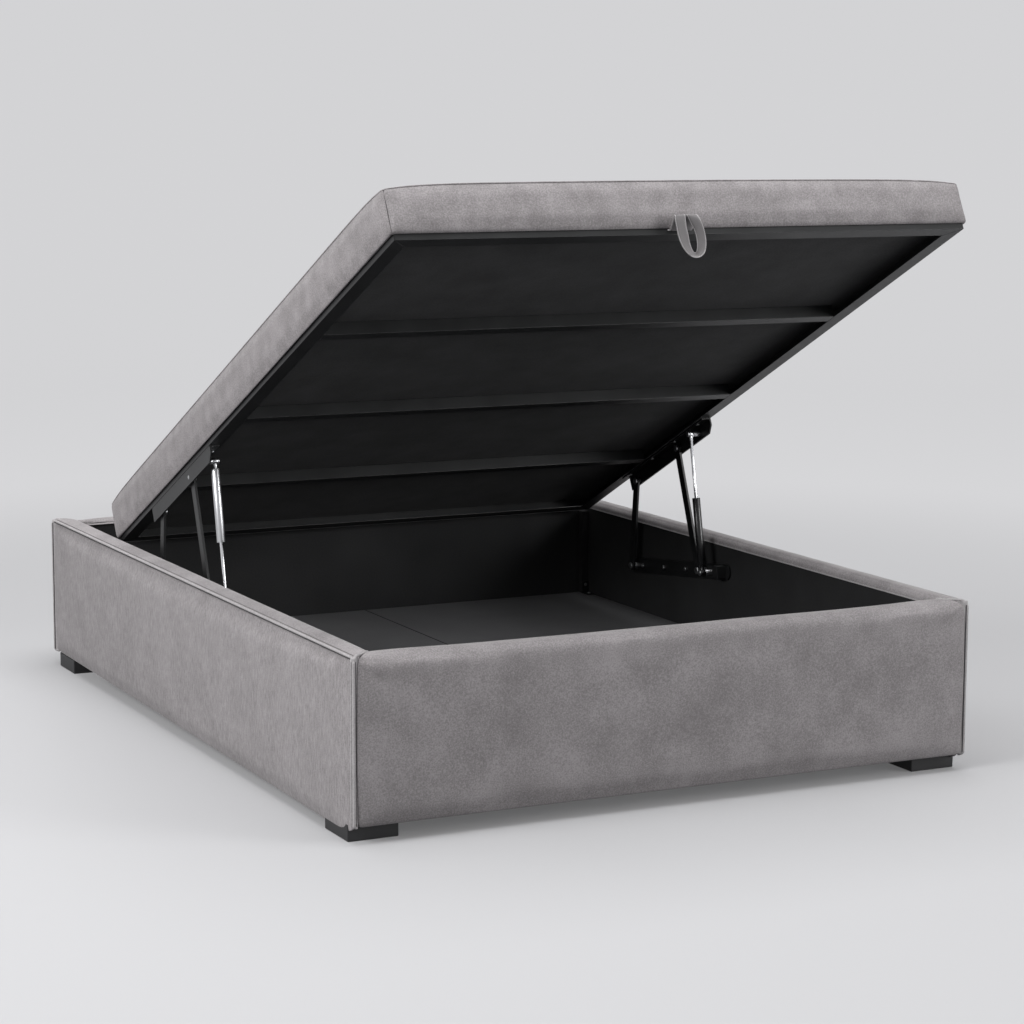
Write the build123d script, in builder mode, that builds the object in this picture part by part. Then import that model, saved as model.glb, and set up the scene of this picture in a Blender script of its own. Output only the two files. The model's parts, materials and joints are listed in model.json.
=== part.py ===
from build123d import *
import os
from math import atan2, cos, degrees, hypot, radians, sin

# Storage bed base with a padded lid that lifts on two link arms and a gas strut a side.
# Millimetres. X runs across the bed, Y from the foot end to the head end, Z up.
# The origin is on the floor, under the centre leg, and the lid stands open.

# Base box
base_width = 1490.0
base_length = 2024.0
rail_top = 389.0
upholstery_bottom = 36.0
side_thickness = 60.0
end_thickness = 58.0
side_pad = 14.0
end_pad = 20.0
cover_top = 10.0
cover_crown = 3.0
side_round = 8.0
end_round = 22.0
turn_down = 16.0
turn_down_thickness = 4.0
lining_thickness = 4.0
seam_gap = 0.3
piping_radius = 2.5
piping_inset = 9.0
piping_corner = 14.0

# Storage floor
floor_top = 136.0
floor_thickness = 12.0
floor_seam_x = 19.0
ledge_width = 22.0
ledge_height = 24.0
partition_setback = 312.0
partition_thickness = 16.0
partition_drop = 24.0
bearer_width = 60.0
bearer_height = 58.0
leg_width = 56.0
post_width = 20.0
post_bracket = 34.0
post_bracket_thickness = 3.0
foot_width = 113.0
foot_depth = 120.0
foot_side_inset = 4.0
foot_end_inset = 40.0
foot_edge = 2.0

# Lid, with its length along s from the front edge and its height h along its normal
lid_side_gap = 4.0
lid_rear_setback = 97.0
lid_open_angle = 26.2
lid_open_setback = 340.7
lid_open_drop = 10.0
lid_height = 110.0
lid_crown = 3.0
lid_crown_run = 86.0
lid_draw_in = 4.0
lid_corner = 12.0
lid_rest_gap = 1.0
deck_thickness = 12.0
sheet_thickness = 1.5
frame_inset = 10.0
frame_flange = 35.0
frame_depth = 12.0
frame_leg = 30.0
steel_thickness = 3.0
bar_flange = 30.0
bar_place_share = (0.2636, 0.5272, 0.7758)

# Lift mechanism: the links' pivots by their setback from the lid's rear end, by h and by
# their drop, and the struts' by their step from the front links'
pivot_h = -31.0
rear_pivot_h = -37.0
front_link_setback = 567.0
rear_link_setback = 327.0
strut_step = 110.0
front_link_drop = 89.0
rear_link_drop = 130.0
strut_drop = 85.0
strut_foot_step = 52.8
link_width = 24.0
link_thickness = 6.0
rail_height = 36.0
rail_flange = 26.0
rail_thickness = 4.0
rail_overhang_front = 62.0
rail_overhang_rear = 48.0
rail_clip = 18.0
rail_inset = 1.0
plate_thickness = 5.0
plate_height = 40.0
plate_overhang = 46.0
block_length = 26.0
block_height = 34.0
block_depth = 24.0
block_edge = 3.0
pin_radius = 5.0
pin_clearance = 0.05
pin_head_radius = 9.0
pin_head = 4.0
collar_radius = 8.5
collar_gap = 0.3
link_gap = 4.0
strut_gap = 10.0

# Gas strut
barrel_radius = 10.0
barrel_bore = 8.0
barrel_length = 172.0
gland_length = 12.0
strut_rod_radius = 4.0
piston_length = 14.0
socket_radius = 8.0
socket_width = 12.0
neck_radius = 5.0
neck_length = 18.0
stud_radius = 4.0
stud_head_radius = 7.0
strut_end_gap = 0.5

# Pull loop
loop_x = -27.0
loop_band = 25.0
loop_thickness = 2.0
loop_reach = 30.0
loop_rise = 25.0
loop_length = 80.0
loop_slot = 20.0
loop_crest = 5.0
loop_hem = 2.5
loop_tail = 9.0

# Fasteners
screw_head_radius = 4.5
screw_head = 2.4
plate_bolt_radius = 6.0
screw_pitch_share = (0.08, 0.36, 0.64, 0.92)

cut_overrun = 1.0

# Places worked out from the sizes above
half_width = base_width / 2
half_length = base_length / 2
inner_x = half_width - side_thickness
inner_y = half_length - end_thickness
rail_height_full = rail_top - upholstery_bottom
board_top = rail_top - cover_top
board_outer_x = half_width - side_pad
board_inner_x = inner_x + lining_thickness
board_outer_y = half_length - end_pad
board_inner_y = inner_y + lining_thickness
lining_top = rail_top - turn_down - seam_gap
partition_y = half_length - partition_setback
partition_top = rail_top - partition_drop
floor_bottom = floor_top - floor_thickness
ledge_bottom = floor_bottom - ledge_height
bearer_bottom = floor_bottom - bearer_height
lid_half = inner_x - lid_side_gap
lid_length = base_length - lid_rear_setback
tilt = radians(lid_open_angle)
lid_front_y = half_length - lid_open_setback - lid_length * cos(tilt)
lid_front_z = rail_top - lid_open_drop + lid_length * sin(tilt)
closed_z = rail_top + lid_rest_gap + frame_depth
frame_half = lid_half - frame_inset
deck_bottom = frame_leg - frame_depth
deck_top = deck_bottom + deck_thickness
front_link_s = lid_length - front_link_setback
rear_link_s = lid_length - rear_link_setback
strut_s = front_link_s - strut_step

rail_x = frame_half - rail_inset
rail_inner_x = rail_x - rail_thickness
link_x = rail_inner_x - link_gap
link_inner_x = link_x - link_thickness
plate_x = inner_x - seam_gap
plate_inner_x = plate_x - plate_thickness
strut_x = link_inner_x - strut_gap - socket_width / 2
socket_inner_x = strut_x - socket_width / 2
socket_outer_x = strut_x + socket_width / 2

os.makedirs("parts", exist_ok=True)


def open_point(s, h):
    """Y and Z of a lid point while the lid stands open."""
    return (
        lid_front_y + s * cos(tilt) + h * sin(tilt),
        lid_front_z - s * sin(tilt) + h * cos(tilt),
    )


def closed_point(s, h):
    """Y and Z of a lid point while the lid lies closed."""
    return (s - half_length, closed_z + h)


def base_pivot(s, h, drop):
    """Base pivot at its drop under the rail top, as far from the lid's pivot open as closed."""
    open_y, open_z = open_point(s, h)
    closed_y, closed_z_here = closed_point(s, h)
    step_y, step_z = closed_y - open_y, closed_z_here - open_z
    middle_y, middle_z = (open_y + closed_y) / 2, (open_z + closed_z_here) / 2
    height = rail_top - drop
    return (middle_y - (height - middle_z) * step_z / step_y, height)


def bearing(start, end):
    """Angle of the line from start to end, in degrees from +Y towards +Z."""
    return degrees(atan2(end[1] - start[1], end[0] - start[0]))


def span(start, end):
    """Length of the line from start to end."""
    return hypot(end[0] - start[0], end[1] - start[1])


front_top = open_point(front_link_s, pivot_h)
rear_top = open_point(rear_link_s, rear_pivot_h)
strut_top = open_point(strut_s, pivot_h)
front_foot = base_pivot(front_link_s, pivot_h, front_link_drop)
rear_foot = base_pivot(rear_link_s, rear_pivot_h, rear_link_drop)
strut_foot = (front_foot[0] - strut_foot_step, rail_top - strut_drop)
strut_length = span(strut_foot, strut_top)
strut_angle = radians(bearing(strut_foot, strut_top))


def side_plane(x):
    """Upright plane at x whose own x runs along Y and own y along Z."""
    return Plane(origin=(x, 0, 0), x_dir=(0, 1, 0), z_dir=(1, 0, 0))


lid_plane = Plane(
    origin=(0, lid_front_y, lid_front_z), x_dir=(1, 0, 0), z_dir=(0, sin(tilt), cos(tilt))
)


def lid_at(x, s, h, turn=0):
    """Plane at a place on the lid, square to it and turned about its normal."""
    return Plane(lid_plane.location * Location((x, s, h), (0, 0, turn)))


def save(part, name):
    """Label one finished piece and write it to its own file."""
    part.label = name
    export_step(part, f"parts/{name}.step")


def block(x0, x1, y0, y1, z0, z1, plane=Plane.XY):
    """Box between two corners, given in the plane's own directions."""
    with BuildPart(plane) as piece:
        with Locations(((x0 + x1) / 2, (y0 + y1) / 2, (z0 + z1) / 2)):
            Box(abs(x1 - x0), abs(y1 - y0), abs(z1 - z0))
    return piece.part


sides = (("left", -1), ("right", 1))
ends = (("foot", -1), ("head", 1))


# Rail boards
def side_board(side):
    """Structural board of one side rail, between the two end boards."""
    inner, outer = side * board_inner_x, side * board_outer_x
    return block(inner, outer, -board_inner_y, board_inner_y, upholstery_bottom, board_top)


def end_board(end):
    """Structural board of the foot or head rail, across the ends of the side boards."""
    inner, outer = end * board_inner_y, end * board_outer_y
    return block(-board_outer_x, board_outer_x, inner, outer, upholstery_bottom, board_top)


for name, side in sides:
    save(side_board(side), f"side_board_{name}")
for name, end in ends:
    save(end_board(end), f"{name}_board")


# Padded covers
def cover_section(pad, thickness, rounding):
    """Cover's cross section, u inward from the outer face and v up: a crowned pad under a top."""
    crown_foot = (cover_crown, upholstery_bottom)
    crown_middle = (0, upholstery_bottom + rail_height_full / 2)
    crown_head = (cover_crown, rail_top - rounding)
    shoulder = cover_crown + rounding
    slope = 1 - sin(radians(45))
    shoulder_middle = (cover_crown + rounding * slope, rail_top - rounding * slope)
    with BuildSketch(Plane.XY) as section:
        with BuildLine():
            ThreePointArc(crown_foot, crown_middle, crown_head)
            ThreePointArc(crown_head, shoulder_middle, (shoulder, rail_top))
            Polyline(
                (shoulder, rail_top),
                (thickness, rail_top),
                (thickness, board_top),
                (pad, board_top),
                (pad, upholstery_bottom),
                crown_foot,
            )
        make_face()
    return section.sketch


def piping_tube(side, radius):
    """Round cord of the given radius along the piping line."""
    x = side * (half_width - piping_inset)
    with BuildPart() as tube:
        with BuildLine(side_plane(x)) as path:
            FilletPolyline(
                (-half_length, upholstery_bottom),
                (-half_length, rail_top),
                (half_length, rail_top),
                (half_length, upholstery_bottom),
                radius=piping_corner,
            )
        with BuildSketch(Plane(origin=path.line @ 0, z_dir=path.line % 0)):
            Circle(radius)
        sweep()
    return tube.part


def side_cover(side):
    """Sewn cover of a side rail: outer pad, mitred top facing and inner turn-down."""
    start = Plane(
        origin=(side * half_width, -side * half_length, 0), x_dir=(-side, 0, 0), z_dir=(0, side, 0)
    )
    with BuildPart() as cover:
        with BuildSketch(start):
            add(cover_section(side_pad, side_thickness, side_round))
        extrude(amount=base_length)
        for end in (-1, 1):
            with BuildSketch(Plane.XY.offset(board_top)):
                with BuildLine():
                    Polyline(
                        (side * board_outer_x, end * half_length),
                        (side * inner_x, end * inner_y),
                        (side * (inner_x - cut_overrun), end * inner_y),
                        (side * (inner_x - cut_overrun), end * (half_length + cut_overrun)),
                        (side * board_outer_x, end * (half_length + cut_overrun)),
                        (side * board_outer_x, end * half_length),
                    )
                make_face()
            extrude(amount=cover_top + cut_overrun, mode=Mode.SUBTRACT)
        with Locations(
            (side * (inner_x + turn_down_thickness / 2), 0, rail_top - turn_down / 2 - cover_top / 2)
        ):
            Box(turn_down_thickness, 2 * inner_y, turn_down - cover_top)
        add(piping_tube(side, piping_radius + seam_gap), mode=Mode.SUBTRACT)
    return cover.part


def end_cover(end):
    """Sewn cover of the foot or head rail: one pad that rolls over the rail's top."""
    half = board_outer_x - seam_gap
    start = Plane(
        origin=(end * half, end * half_length, 0), x_dir=(0, -end, 0), z_dir=(-end, 0, 0)
    )
    with BuildPart() as cover:
        with BuildSketch(start):
            add(cover_section(end_pad, end_thickness, end_round))
        extrude(amount=2 * half)
        for side in (-1, 1):
            with BuildSketch(Plane.XY.offset(board_top)):
                with BuildLine():
                    Polyline(
                        (side * half, end * half_length),
                        (side * (inner_x - seam_gap), end * inner_y),
                        (side * (inner_x - seam_gap), end * (inner_y - cut_overrun)),
                        (side * (half + cut_overrun), end * (inner_y - cut_overrun)),
                        (side * (half + cut_overrun), end * half_length),
                        (side * half, end * half_length),
                    )
                make_face()
            extrude(amount=cover_top + cut_overrun, mode=Mode.SUBTRACT)
        with Locations(
            (0, end * (inner_y + turn_down_thickness / 2), rail_top - turn_down / 2 - cover_top / 2)
        ):
            Box(2 * (inner_x - seam_gap), turn_down_thickness, turn_down - cover_top)
    return cover.part


for name, side in sides:
    save(side_cover(side), f"side_cover_{name}")
    save(piping_tube(side, piping_radius), f"rail_piping_{name}")
for name, end in ends:
    save(end_cover(end), f"{name}_cover")


# Linings, partition and floor
def side_lining(side):
    """Black lining sheet on the inner face of a side board."""
    inner, outer = side * inner_x, side * board_inner_x
    return block(inner, outer, -inner_y, inner_y, upholstery_bottom, lining_top)


for name, side in sides:
    save(side_lining(side), f"side_lining_{name}")
foot_lining = block(
    -inner_x, inner_x, -board_inner_y, -inner_y, upholstery_bottom, lining_top
)
save(foot_lining, "foot_lining")
rear_partition = block(
    seam_gap - inner_x,
    inner_x - seam_gap,
    partition_y,
    partition_y + partition_thickness,
    ledge_bottom,
    partition_top,
)
save(rear_partition, "rear_partition")

for name, side in sides:
    panel = block(
        floor_seam_x + side * seam_gap,
        side * (inner_x - seam_gap),
        seam_gap - inner_y,
        partition_y - seam_gap,
        floor_bottom,
        floor_top,
    )
    save(panel, f"floor_panel_{name}")

with BuildPart() as floor_ledges:
    for _, side in sides:
        with Locations(
            (
                side * (inner_x - ledge_width / 2),
                (partition_y - inner_y) / 2,
                (ledge_bottom + floor_bottom) / 2,
            )
        ):
            Box(ledge_width, partition_y + inner_y, ledge_height)
save(floor_ledges.part, "floor_ledges")

centre_bearer = block(
    -bearer_width / 2, bearer_width / 2, -inner_y, partition_y, bearer_bottom, floor_bottom
)
save(centre_bearer, "centre_bearer")
with BuildPart() as centre_leg:
    with Locations((0, 0, bearer_bottom / 2)):
        Box(leg_width, leg_width, bearer_bottom)
    chamfer(centre_leg.edges().group_by(Axis.Z)[0], foot_edge)
save(centre_leg.part, "centre_leg")


# Feet
def foot(side, end):
    """Block foot under one corner, with its lower edges eased."""
    x = side * (half_width - foot_side_inset - foot_width / 2)
    y = end * (half_length - foot_end_inset - foot_depth / 2)
    with BuildPart() as piece:
        with Locations((x, y, upholstery_bottom / 2)):
            Box(foot_width, foot_depth, upholstery_bottom)
        chamfer(piece.edges().group_by(Axis.Z)[0], foot_edge)
        fillet(piece.edges().filter_by(Axis.Z), foot_edge)
    return piece.part


for end_name, end in (("front", -1), ("rear", 1)):
    for name, side in sides:
        save(foot(side, end), f"foot_{end_name}_{name}")

# Posts at the partition's ends, with the angle bracket at each post's foot
for name, side in sides:
    post = block(
        side * (inner_x - seam_gap - post_width),
        side * (inner_x - seam_gap),
        partition_y - seam_gap - post_width,
        partition_y - seam_gap,
        floor_top,
        partition_top,
    )
    save(post, f"corner_post_{name}")

bracket_y = partition_y - seam_gap - post_width
with BuildPart() as post_brackets:
    for _, side in sides:
        x = side * (inner_x - seam_gap - post_width / 2)
        with Locations((x, bracket_y - post_bracket_thickness / 2, floor_top + post_bracket / 2)):
            Box(post_width, post_bracket_thickness, post_bracket)
        with Locations((x, bracket_y - post_bracket / 2, floor_top + post_bracket_thickness / 2)):
            Box(post_width, post_bracket, post_bracket_thickness)
save(post_brackets.part, "post_brackets")

with BuildPart() as base_screws:
    for _, side in sides:
        x = side * (inner_x - seam_gap - post_width / 2)
        front = bracket_y - post_bracket_thickness
        upright = Plane(
            origin=(x, front, floor_top + post_bracket - post_width / 2), z_dir=(0, -1, 0)
        )
        level_y = bracket_y - post_bracket + post_width / 2
        level = Plane((x, level_y, floor_top + post_bracket_thickness))
        for seat in (upright, level):
            with BuildSketch(seat):
                Circle(screw_head_radius)
            extrude(amount=screw_head)
save(base_screws.part, "base_screws")


# Lid padding, deck and lining
def lid_outline(inset):
    """Lid's rounded outline, drawn in on all sides."""
    with Locations((0, lid_length / 2)):
        RectangleRounded(2 * (lid_half - inset), lid_length - 2 * inset, lid_corner)


def lid_piping_path():
    """Rounded ring that the piping of the lid's top seam follows."""
    with Locations((0, lid_length / 2)):
        RectangleRounded(2 * (lid_half - lid_draw_in), lid_length - 2 * lid_draw_in, lid_corner)


seam_h = lid_height - lid_draw_in - lid_crown


def lid_cord(radius):
    """Cord ring of the given radius round the lid's top seam."""
    with BuildPart() as cord:
        with BuildSketch(lid_at(0, 0, seam_h), mode=Mode.PRIVATE) as ring:
            lid_piping_path()
        path = ring.sketch.face().outer_wire()
        with BuildSketch(Plane(origin=path @ 0, z_dir=path % 0)):
            Circle(radius)
        sweep(path=path)
    return cord.part


crown_steps = (
    (0, lid_draw_in / 2),
    (lid_height / 2 - lid_crown, 0),
    (seam_h, lid_draw_in),
    (lid_height - lid_crown, lid_draw_in + lid_crown + lid_draw_in),
    (lid_height, lid_crown_run),
)
with BuildPart() as lid_cushion:
    for height, inset in crown_steps:
        with BuildSketch(lid_at(0, 0, height)):
            lid_outline(inset)
    loft(ruled=True)
    with BuildSketch(lid_at(0, 0, -cut_overrun)):
        with Locations((0, lid_length / 2)):
            Rectangle(2 * (frame_half + seam_gap), lid_length - 2 * (frame_inset - seam_gap))
    extrude(amount=deck_top + cut_overrun, mode=Mode.SUBTRACT)
    add(lid_cord(piping_radius + seam_gap), mode=Mode.SUBTRACT)
save(lid_cushion.part, "lid_cushion")
save(lid_cord(piping_radius), "lid_piping")

deck_board = block(
    -frame_half, frame_half, frame_inset, lid_length - frame_inset, deck_bottom, deck_top, lid_plane
)
save(deck_board, "deck_board")
lining_half = frame_half - steel_thickness - seam_gap
lining_front = frame_inset + steel_thickness + seam_gap
underside_lining = block(
    -lining_half,
    lining_half,
    lining_front,
    lid_length - lining_front,
    deck_bottom - sheet_thickness,
    deck_bottom,
    lid_plane,
)
save(underside_lining, "underside_lining")


# Steel frame
def trapezoid(length, depth):
    """Mitred strip: its long edge on the plane's x axis, running inwards along y."""
    half = length / 2 - seam_gap
    Polygon((-half, 0), (half, 0), (half - depth, depth), (depth - half, depth), align=None)


def frame_angle(plane, length):
    """Steel angle with mitred ends: a flange underneath and a leg up to the deck."""
    with BuildPart() as angle:
        with BuildSketch(plane):
            trapezoid(length, frame_flange)
        extrude(amount=steel_thickness)
        with BuildSketch(plane):
            trapezoid(length, steel_thickness)
        extrude(amount=frame_leg)
    return angle.part


frame_long = lid_length - 2 * frame_inset
frame_places = {
    "frame_front": (lid_at(0, frame_inset, -frame_depth), 2 * frame_half),
    "frame_rear": (lid_at(0, lid_length - frame_inset, -frame_depth, 180), 2 * frame_half),
    "frame_left": (lid_at(-frame_half, lid_length / 2, -frame_depth, -90), frame_long),
    "frame_right": (lid_at(frame_half, lid_length / 2, -frame_depth, 90), frame_long),
}
for name, (plane, length) in frame_places.items():
    save(frame_angle(plane, length), name)

bar_half = frame_half - frame_flange - seam_gap
for number, share in enumerate(bar_place_share, start=1):
    with BuildPart(lid_at(0, share * lid_length, -frame_depth)) as cross_bar:
        with Locations((0, steel_thickness / 2, (frame_leg - sheet_thickness) / 2)):
            Box(2 * bar_half, steel_thickness, frame_leg - sheet_thickness)
        with Locations((0, bar_flange / 2, steel_thickness / 2)):
            Box(2 * bar_half, bar_flange, steel_thickness)
    save(cross_bar.part, f"cross_bar_{number}")


# Upper rails of the mechanism, under the side frame
def turned(side, place, steps):
    """Turned piece about a pivot's axis: steps are (from x, to x, radius), x outward."""
    with BuildPart() as piece:
        for x0, x1, radius in steps:
            with BuildSketch(side_plane(min(side * x0, side * x1))):
                with Locations(place):
                    Circle(radius)
            extrude(amount=abs(x1 - x0))
    return piece.part


def bore(side, place, radius, x0, x1):
    """Round cutter through a flat piece that lies from x0 to x1."""
    return turned(side, place, ((x0 - cut_overrun, x1 + cut_overrun, radius),))


rail_front = strut_s - rail_overhang_front
rail_rear = rear_link_s + rail_overhang_rear


def upper_rail(side):
    """Angle that carries the links' upper pivots, screwed under the lid's frame."""
    web = Plane(
        origin=(min(side * rail_x, side * rail_inner_x), lid_front_y, lid_front_z),
        x_dir=(0, cos(tilt), -sin(tilt)),
        z_dir=(1, 0, 0),
    )
    top = -frame_depth
    bottom = -frame_depth - rail_height
    with BuildPart() as rail:
        with BuildSketch(web):
            with BuildLine():
                Polyline(
                    (rail_front, top),
                    (rail_rear, top),
                    (rail_rear, bottom),
                    (rail_front + rail_clip, bottom),
                    (rail_front, bottom + rail_clip),
                    (rail_front, top),
                )
            make_face()
        extrude(amount=rail_thickness)
        add(
            block(
                side * rail_x,
                side * (rail_x - rail_flange),
                rail_front,
                rail_rear,
                top - steel_thickness,
                top,
                lid_plane,
            )
        )
        hole = bore(side, front_top, pin_radius + pin_clearance, rail_inner_x, rail_x)
        add(hole, mode=Mode.SUBTRACT)
    return rail.part


for name, side in sides:
    save(upper_rail(side), f"upper_rail_{name}")

with BuildPart() as frame_screws:
    for _, side in sides:
        for share in screw_pitch_share:
            s = rail_front + share * (rail_rear - rail_front)
            x = side * (rail_x - rail_flange + screw_head_radius + steel_thickness)
            with BuildSketch(lid_at(x, s, -frame_depth - steel_thickness)):
                Circle(screw_head_radius)
            extrude(amount=-screw_head)
save(frame_screws.part, "frame_screws")


# Lower plates on the side walls, with the block and bolts at their ends
plate_line = bearing(strut_foot, rear_foot)


def along_plate(distance, rise=0):
    """Y and Z of a place on the plate, from the strut's foot towards the rear pivot."""
    turn = radians(plate_line)
    return (
        strut_foot[0] + distance * cos(turn) - rise * sin(turn),
        strut_foot[1] + distance * sin(turn) + rise * cos(turn),
    )


plate_span = span(strut_foot, rear_foot)
plate_far = plate_span + plate_height / 2


def bar_sketch(start, end, width):
    """Round-ended bar from start to end in the current sketch."""
    middle = ((start[0] + end[0]) / 2, (start[1] + end[1]) / 2, 0)
    with Locations(Location(middle, (0, 0, bearing(start, end)))):
        SlotCenterToCenter(span(start, end), width)


def lower_plate(side):
    """Long plate on the side wall that carries the links' lower pivots."""
    plane = side_plane(min(side * plate_x, side * plate_inner_x))
    with BuildPart() as plate:
        with BuildSketch(plane):
            bar_sketch(along_plate(-plate_overhang), along_plate(plate_far), plate_height)
        extrude(amount=plate_thickness)
        for pivot in (front_foot, rear_foot):
            hole = bore(side, pivot, pin_radius + pin_clearance, plate_inner_x, plate_x)
            add(hole, mode=Mode.SUBTRACT)
    return plate.part


for name, side in sides:
    save(lower_plate(side), f"lower_plate_{name}")

with BuildPart() as plate_end_blocks:
    for _, side in sides:
        place = along_plate(block_length / 2 - plate_overhang)
        x = side * (plate_inner_x - block_depth / 2)
        with Locations(Location((x, place[0], place[1]), (plate_line, 0, 0))):
            Box(block_depth, block_length, block_height)
    fillet(plate_end_blocks.edges().filter_by(Axis.X), block_edge)
save(plate_end_blocks.part, "plate_end_blocks")

with BuildPart() as plate_bolts:
    for _, side in sides:
        for share in screw_pitch_share[1:]:
            seat = along_plate(share * plate_span + pin_head_radius)
            plane = side_plane(side * plate_inner_x - (pin_head if side > 0 else 0))
            with BuildSketch(plane):
                with Locations(seat):
                    RegularPolygon(plate_bolt_radius, 6)
            extrude(amount=pin_head)
save(plate_bolts.part, "plate_bolts")


# Links and their pivot bolts
def link(side, start, end):
    """Flat link with a round end at each pivot."""
    plane = side_plane(min(side * link_x, side * link_inner_x))
    with BuildPart() as bar:
        with BuildSketch(plane):
            bar_sketch(start, end, link_width)
        extrude(amount=link_thickness)
        for pivot in (start, end):
            hole = bore(side, pivot, pin_radius, link_inner_x, link_x)
            add(hole, mode=Mode.SUBTRACT)
    return bar.part


def lower_bolt(side, pivot):
    """Shoulder bolt of a link's lower pivot, with its head inside and its tip in the plate."""
    return turned(
        side,
        pivot,
        (
            (link_inner_x - pin_head - collar_gap, link_inner_x - collar_gap, pin_head_radius),
            (link_inner_x - collar_gap, plate_x - collar_gap, pin_radius),
            (link_x + collar_gap, plate_inner_x - collar_gap, collar_radius),
        ),
    )


def front_upper_bolt(side):
    """Bolt of the front link's upper pivot, through the link and the upper rail."""
    return turned(
        side,
        front_top,
        (
            (link_inner_x - pin_head - collar_gap, link_inner_x - collar_gap, pin_head_radius),
            (link_inner_x - collar_gap, rail_x, pin_radius),
            (link_x + collar_gap, rail_inner_x - collar_gap, collar_radius),
        ),
    )


def rear_upper_bolt(side):
    """Bolt of the rear link's upper pivot, which ends just short of the upper rail."""
    return turned(
        side,
        rear_top,
        (
            (link_inner_x - pin_head - collar_gap, link_inner_x - collar_gap, pin_head_radius),
            (link_inner_x - collar_gap, link_x + collar_gap, pin_radius),
            (link_x + collar_gap, rail_inner_x - collar_gap, collar_radius),
        ),
    )


for name, side in sides:
    save(link(side, front_foot, front_top), f"front_link_{name}")
    save(link(side, rear_foot, rear_top), f"rear_link_{name}")

with BuildPart() as front_link_bolts:
    for _, side in sides:
        add(lower_bolt(side, front_foot))
        add(front_upper_bolt(side))
save(front_link_bolts.part, "front_link_bolts")
with BuildPart() as rear_link_bolts:
    for _, side in sides:
        add(lower_bolt(side, rear_foot))
        add(rear_upper_bolt(side))
save(rear_link_bolts.part, "rear_link_bolts")


# Gas struts: the left one has its barrel on the lid, the right one on the base
def strut_plane(side, from_top):
    """Plane at one end of the strut, square to it and facing the other end."""
    origin = strut_top if from_top else strut_foot
    sign = -1 if from_top else 1
    return Plane(
        origin=(side * strut_x, origin[0], origin[1]),
        x_dir=(1, 0, 0),
        z_dir=(0, sign * cos(strut_angle), sign * sin(strut_angle)),
    )


def socket(side, place):
    """Round socket across the strut's end, bored for its stud."""
    return turned(side, place, ((socket_inner_x, socket_outer_x, socket_radius),))


def strut_barrel(side, from_top):
    """Pressure tube with its end socket, open at the gland for the rod."""
    place = strut_top if from_top else strut_foot
    profile = (
        (0, 0),
        (neck_radius, 0),
        (neck_radius, neck_length),
        (barrel_radius, neck_length),
        (barrel_radius, neck_length + barrel_length),
        (strut_rod_radius + pin_clearance, neck_length + barrel_length),
        (strut_rod_radius + pin_clearance, neck_length + barrel_length - gland_length),
        (barrel_bore, neck_length + barrel_length - gland_length),
        (barrel_bore, neck_length + piston_length),
        (0, neck_length + piston_length),
        (0, 0),
    )
    with BuildPart() as barrel:
        plane = strut_plane(side, from_top)
        with BuildSketch(Plane(origin=plane.origin, x_dir=(1, 0, 0), z_dir=-plane.y_dir)):
            with BuildLine():
                Polyline(*profile)
            make_face()
        revolve(axis=Axis(plane.origin, plane.z_dir))
        add(socket(side, place))
        hole = bore(side, place, stud_radius + pin_clearance, socket_inner_x, socket_outer_x)
        add(hole, mode=Mode.SUBTRACT)
    return barrel.part


def strut_rod(side, from_top):
    """Piston rod with its end socket and the piston that runs inside the tube."""
    place = strut_top if from_top else strut_foot
    reach = strut_length - neck_length - barrel_length + gland_length
    profile = (
        (0, 0),
        (neck_radius, 0),
        (neck_radius, neck_length),
        (strut_rod_radius, neck_length),
        (strut_rod_radius, reach + strut_end_gap),
        (barrel_bore - pin_clearance, reach + strut_end_gap),
        (barrel_bore - pin_clearance, reach + strut_end_gap + piston_length),
        (0, reach + strut_end_gap + piston_length),
        (0, 0),
    )
    with BuildPart() as rod:
        plane = strut_plane(side, from_top)
        with BuildSketch(Plane(origin=plane.origin, x_dir=(1, 0, 0), z_dir=-plane.y_dir)):
            with BuildLine():
                Polyline(*profile)
            make_face()
        revolve(axis=Axis(plane.origin, plane.z_dir))
        add(socket(side, place))
        hole = bore(side, place, stud_radius + pin_clearance, socket_inner_x, socket_outer_x)
        add(hole, mode=Mode.SUBTRACT)
    return rod.part


save(strut_barrel(-1, True), "strut_barrel_left")
save(strut_rod(-1, False), "strut_rod_left")
save(strut_barrel(1, False), "strut_barrel_right")
save(strut_rod(1, True), "strut_rod_right")

stud_inner = socket_inner_x - pin_head - collar_gap
stud_shoulder = socket_outer_x + collar_gap


def stud(side, place, seat_x):
    """Ball stud through a socket, with a keeper head inside and a shoulder at its seat."""
    return turned(
        side,
        place,
        (
            (stud_inner, stud_inner + pin_head, stud_head_radius),
            (stud_inner + pin_head, seat_x, stud_radius),
            (stud_shoulder, seat_x, stud_head_radius),
        ),
    )


with BuildPart() as strut_lower_studs:
    for _, side in sides:
        add(stud(side, strut_foot, plate_inner_x))
save(strut_lower_studs.part, "strut_lower_studs")
with BuildPart() as strut_upper_studs:
    for _, side in sides:
        add(stud(side, strut_top, rail_inner_x - collar_gap))
save(strut_upper_studs.part, "strut_upper_studs")

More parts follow.
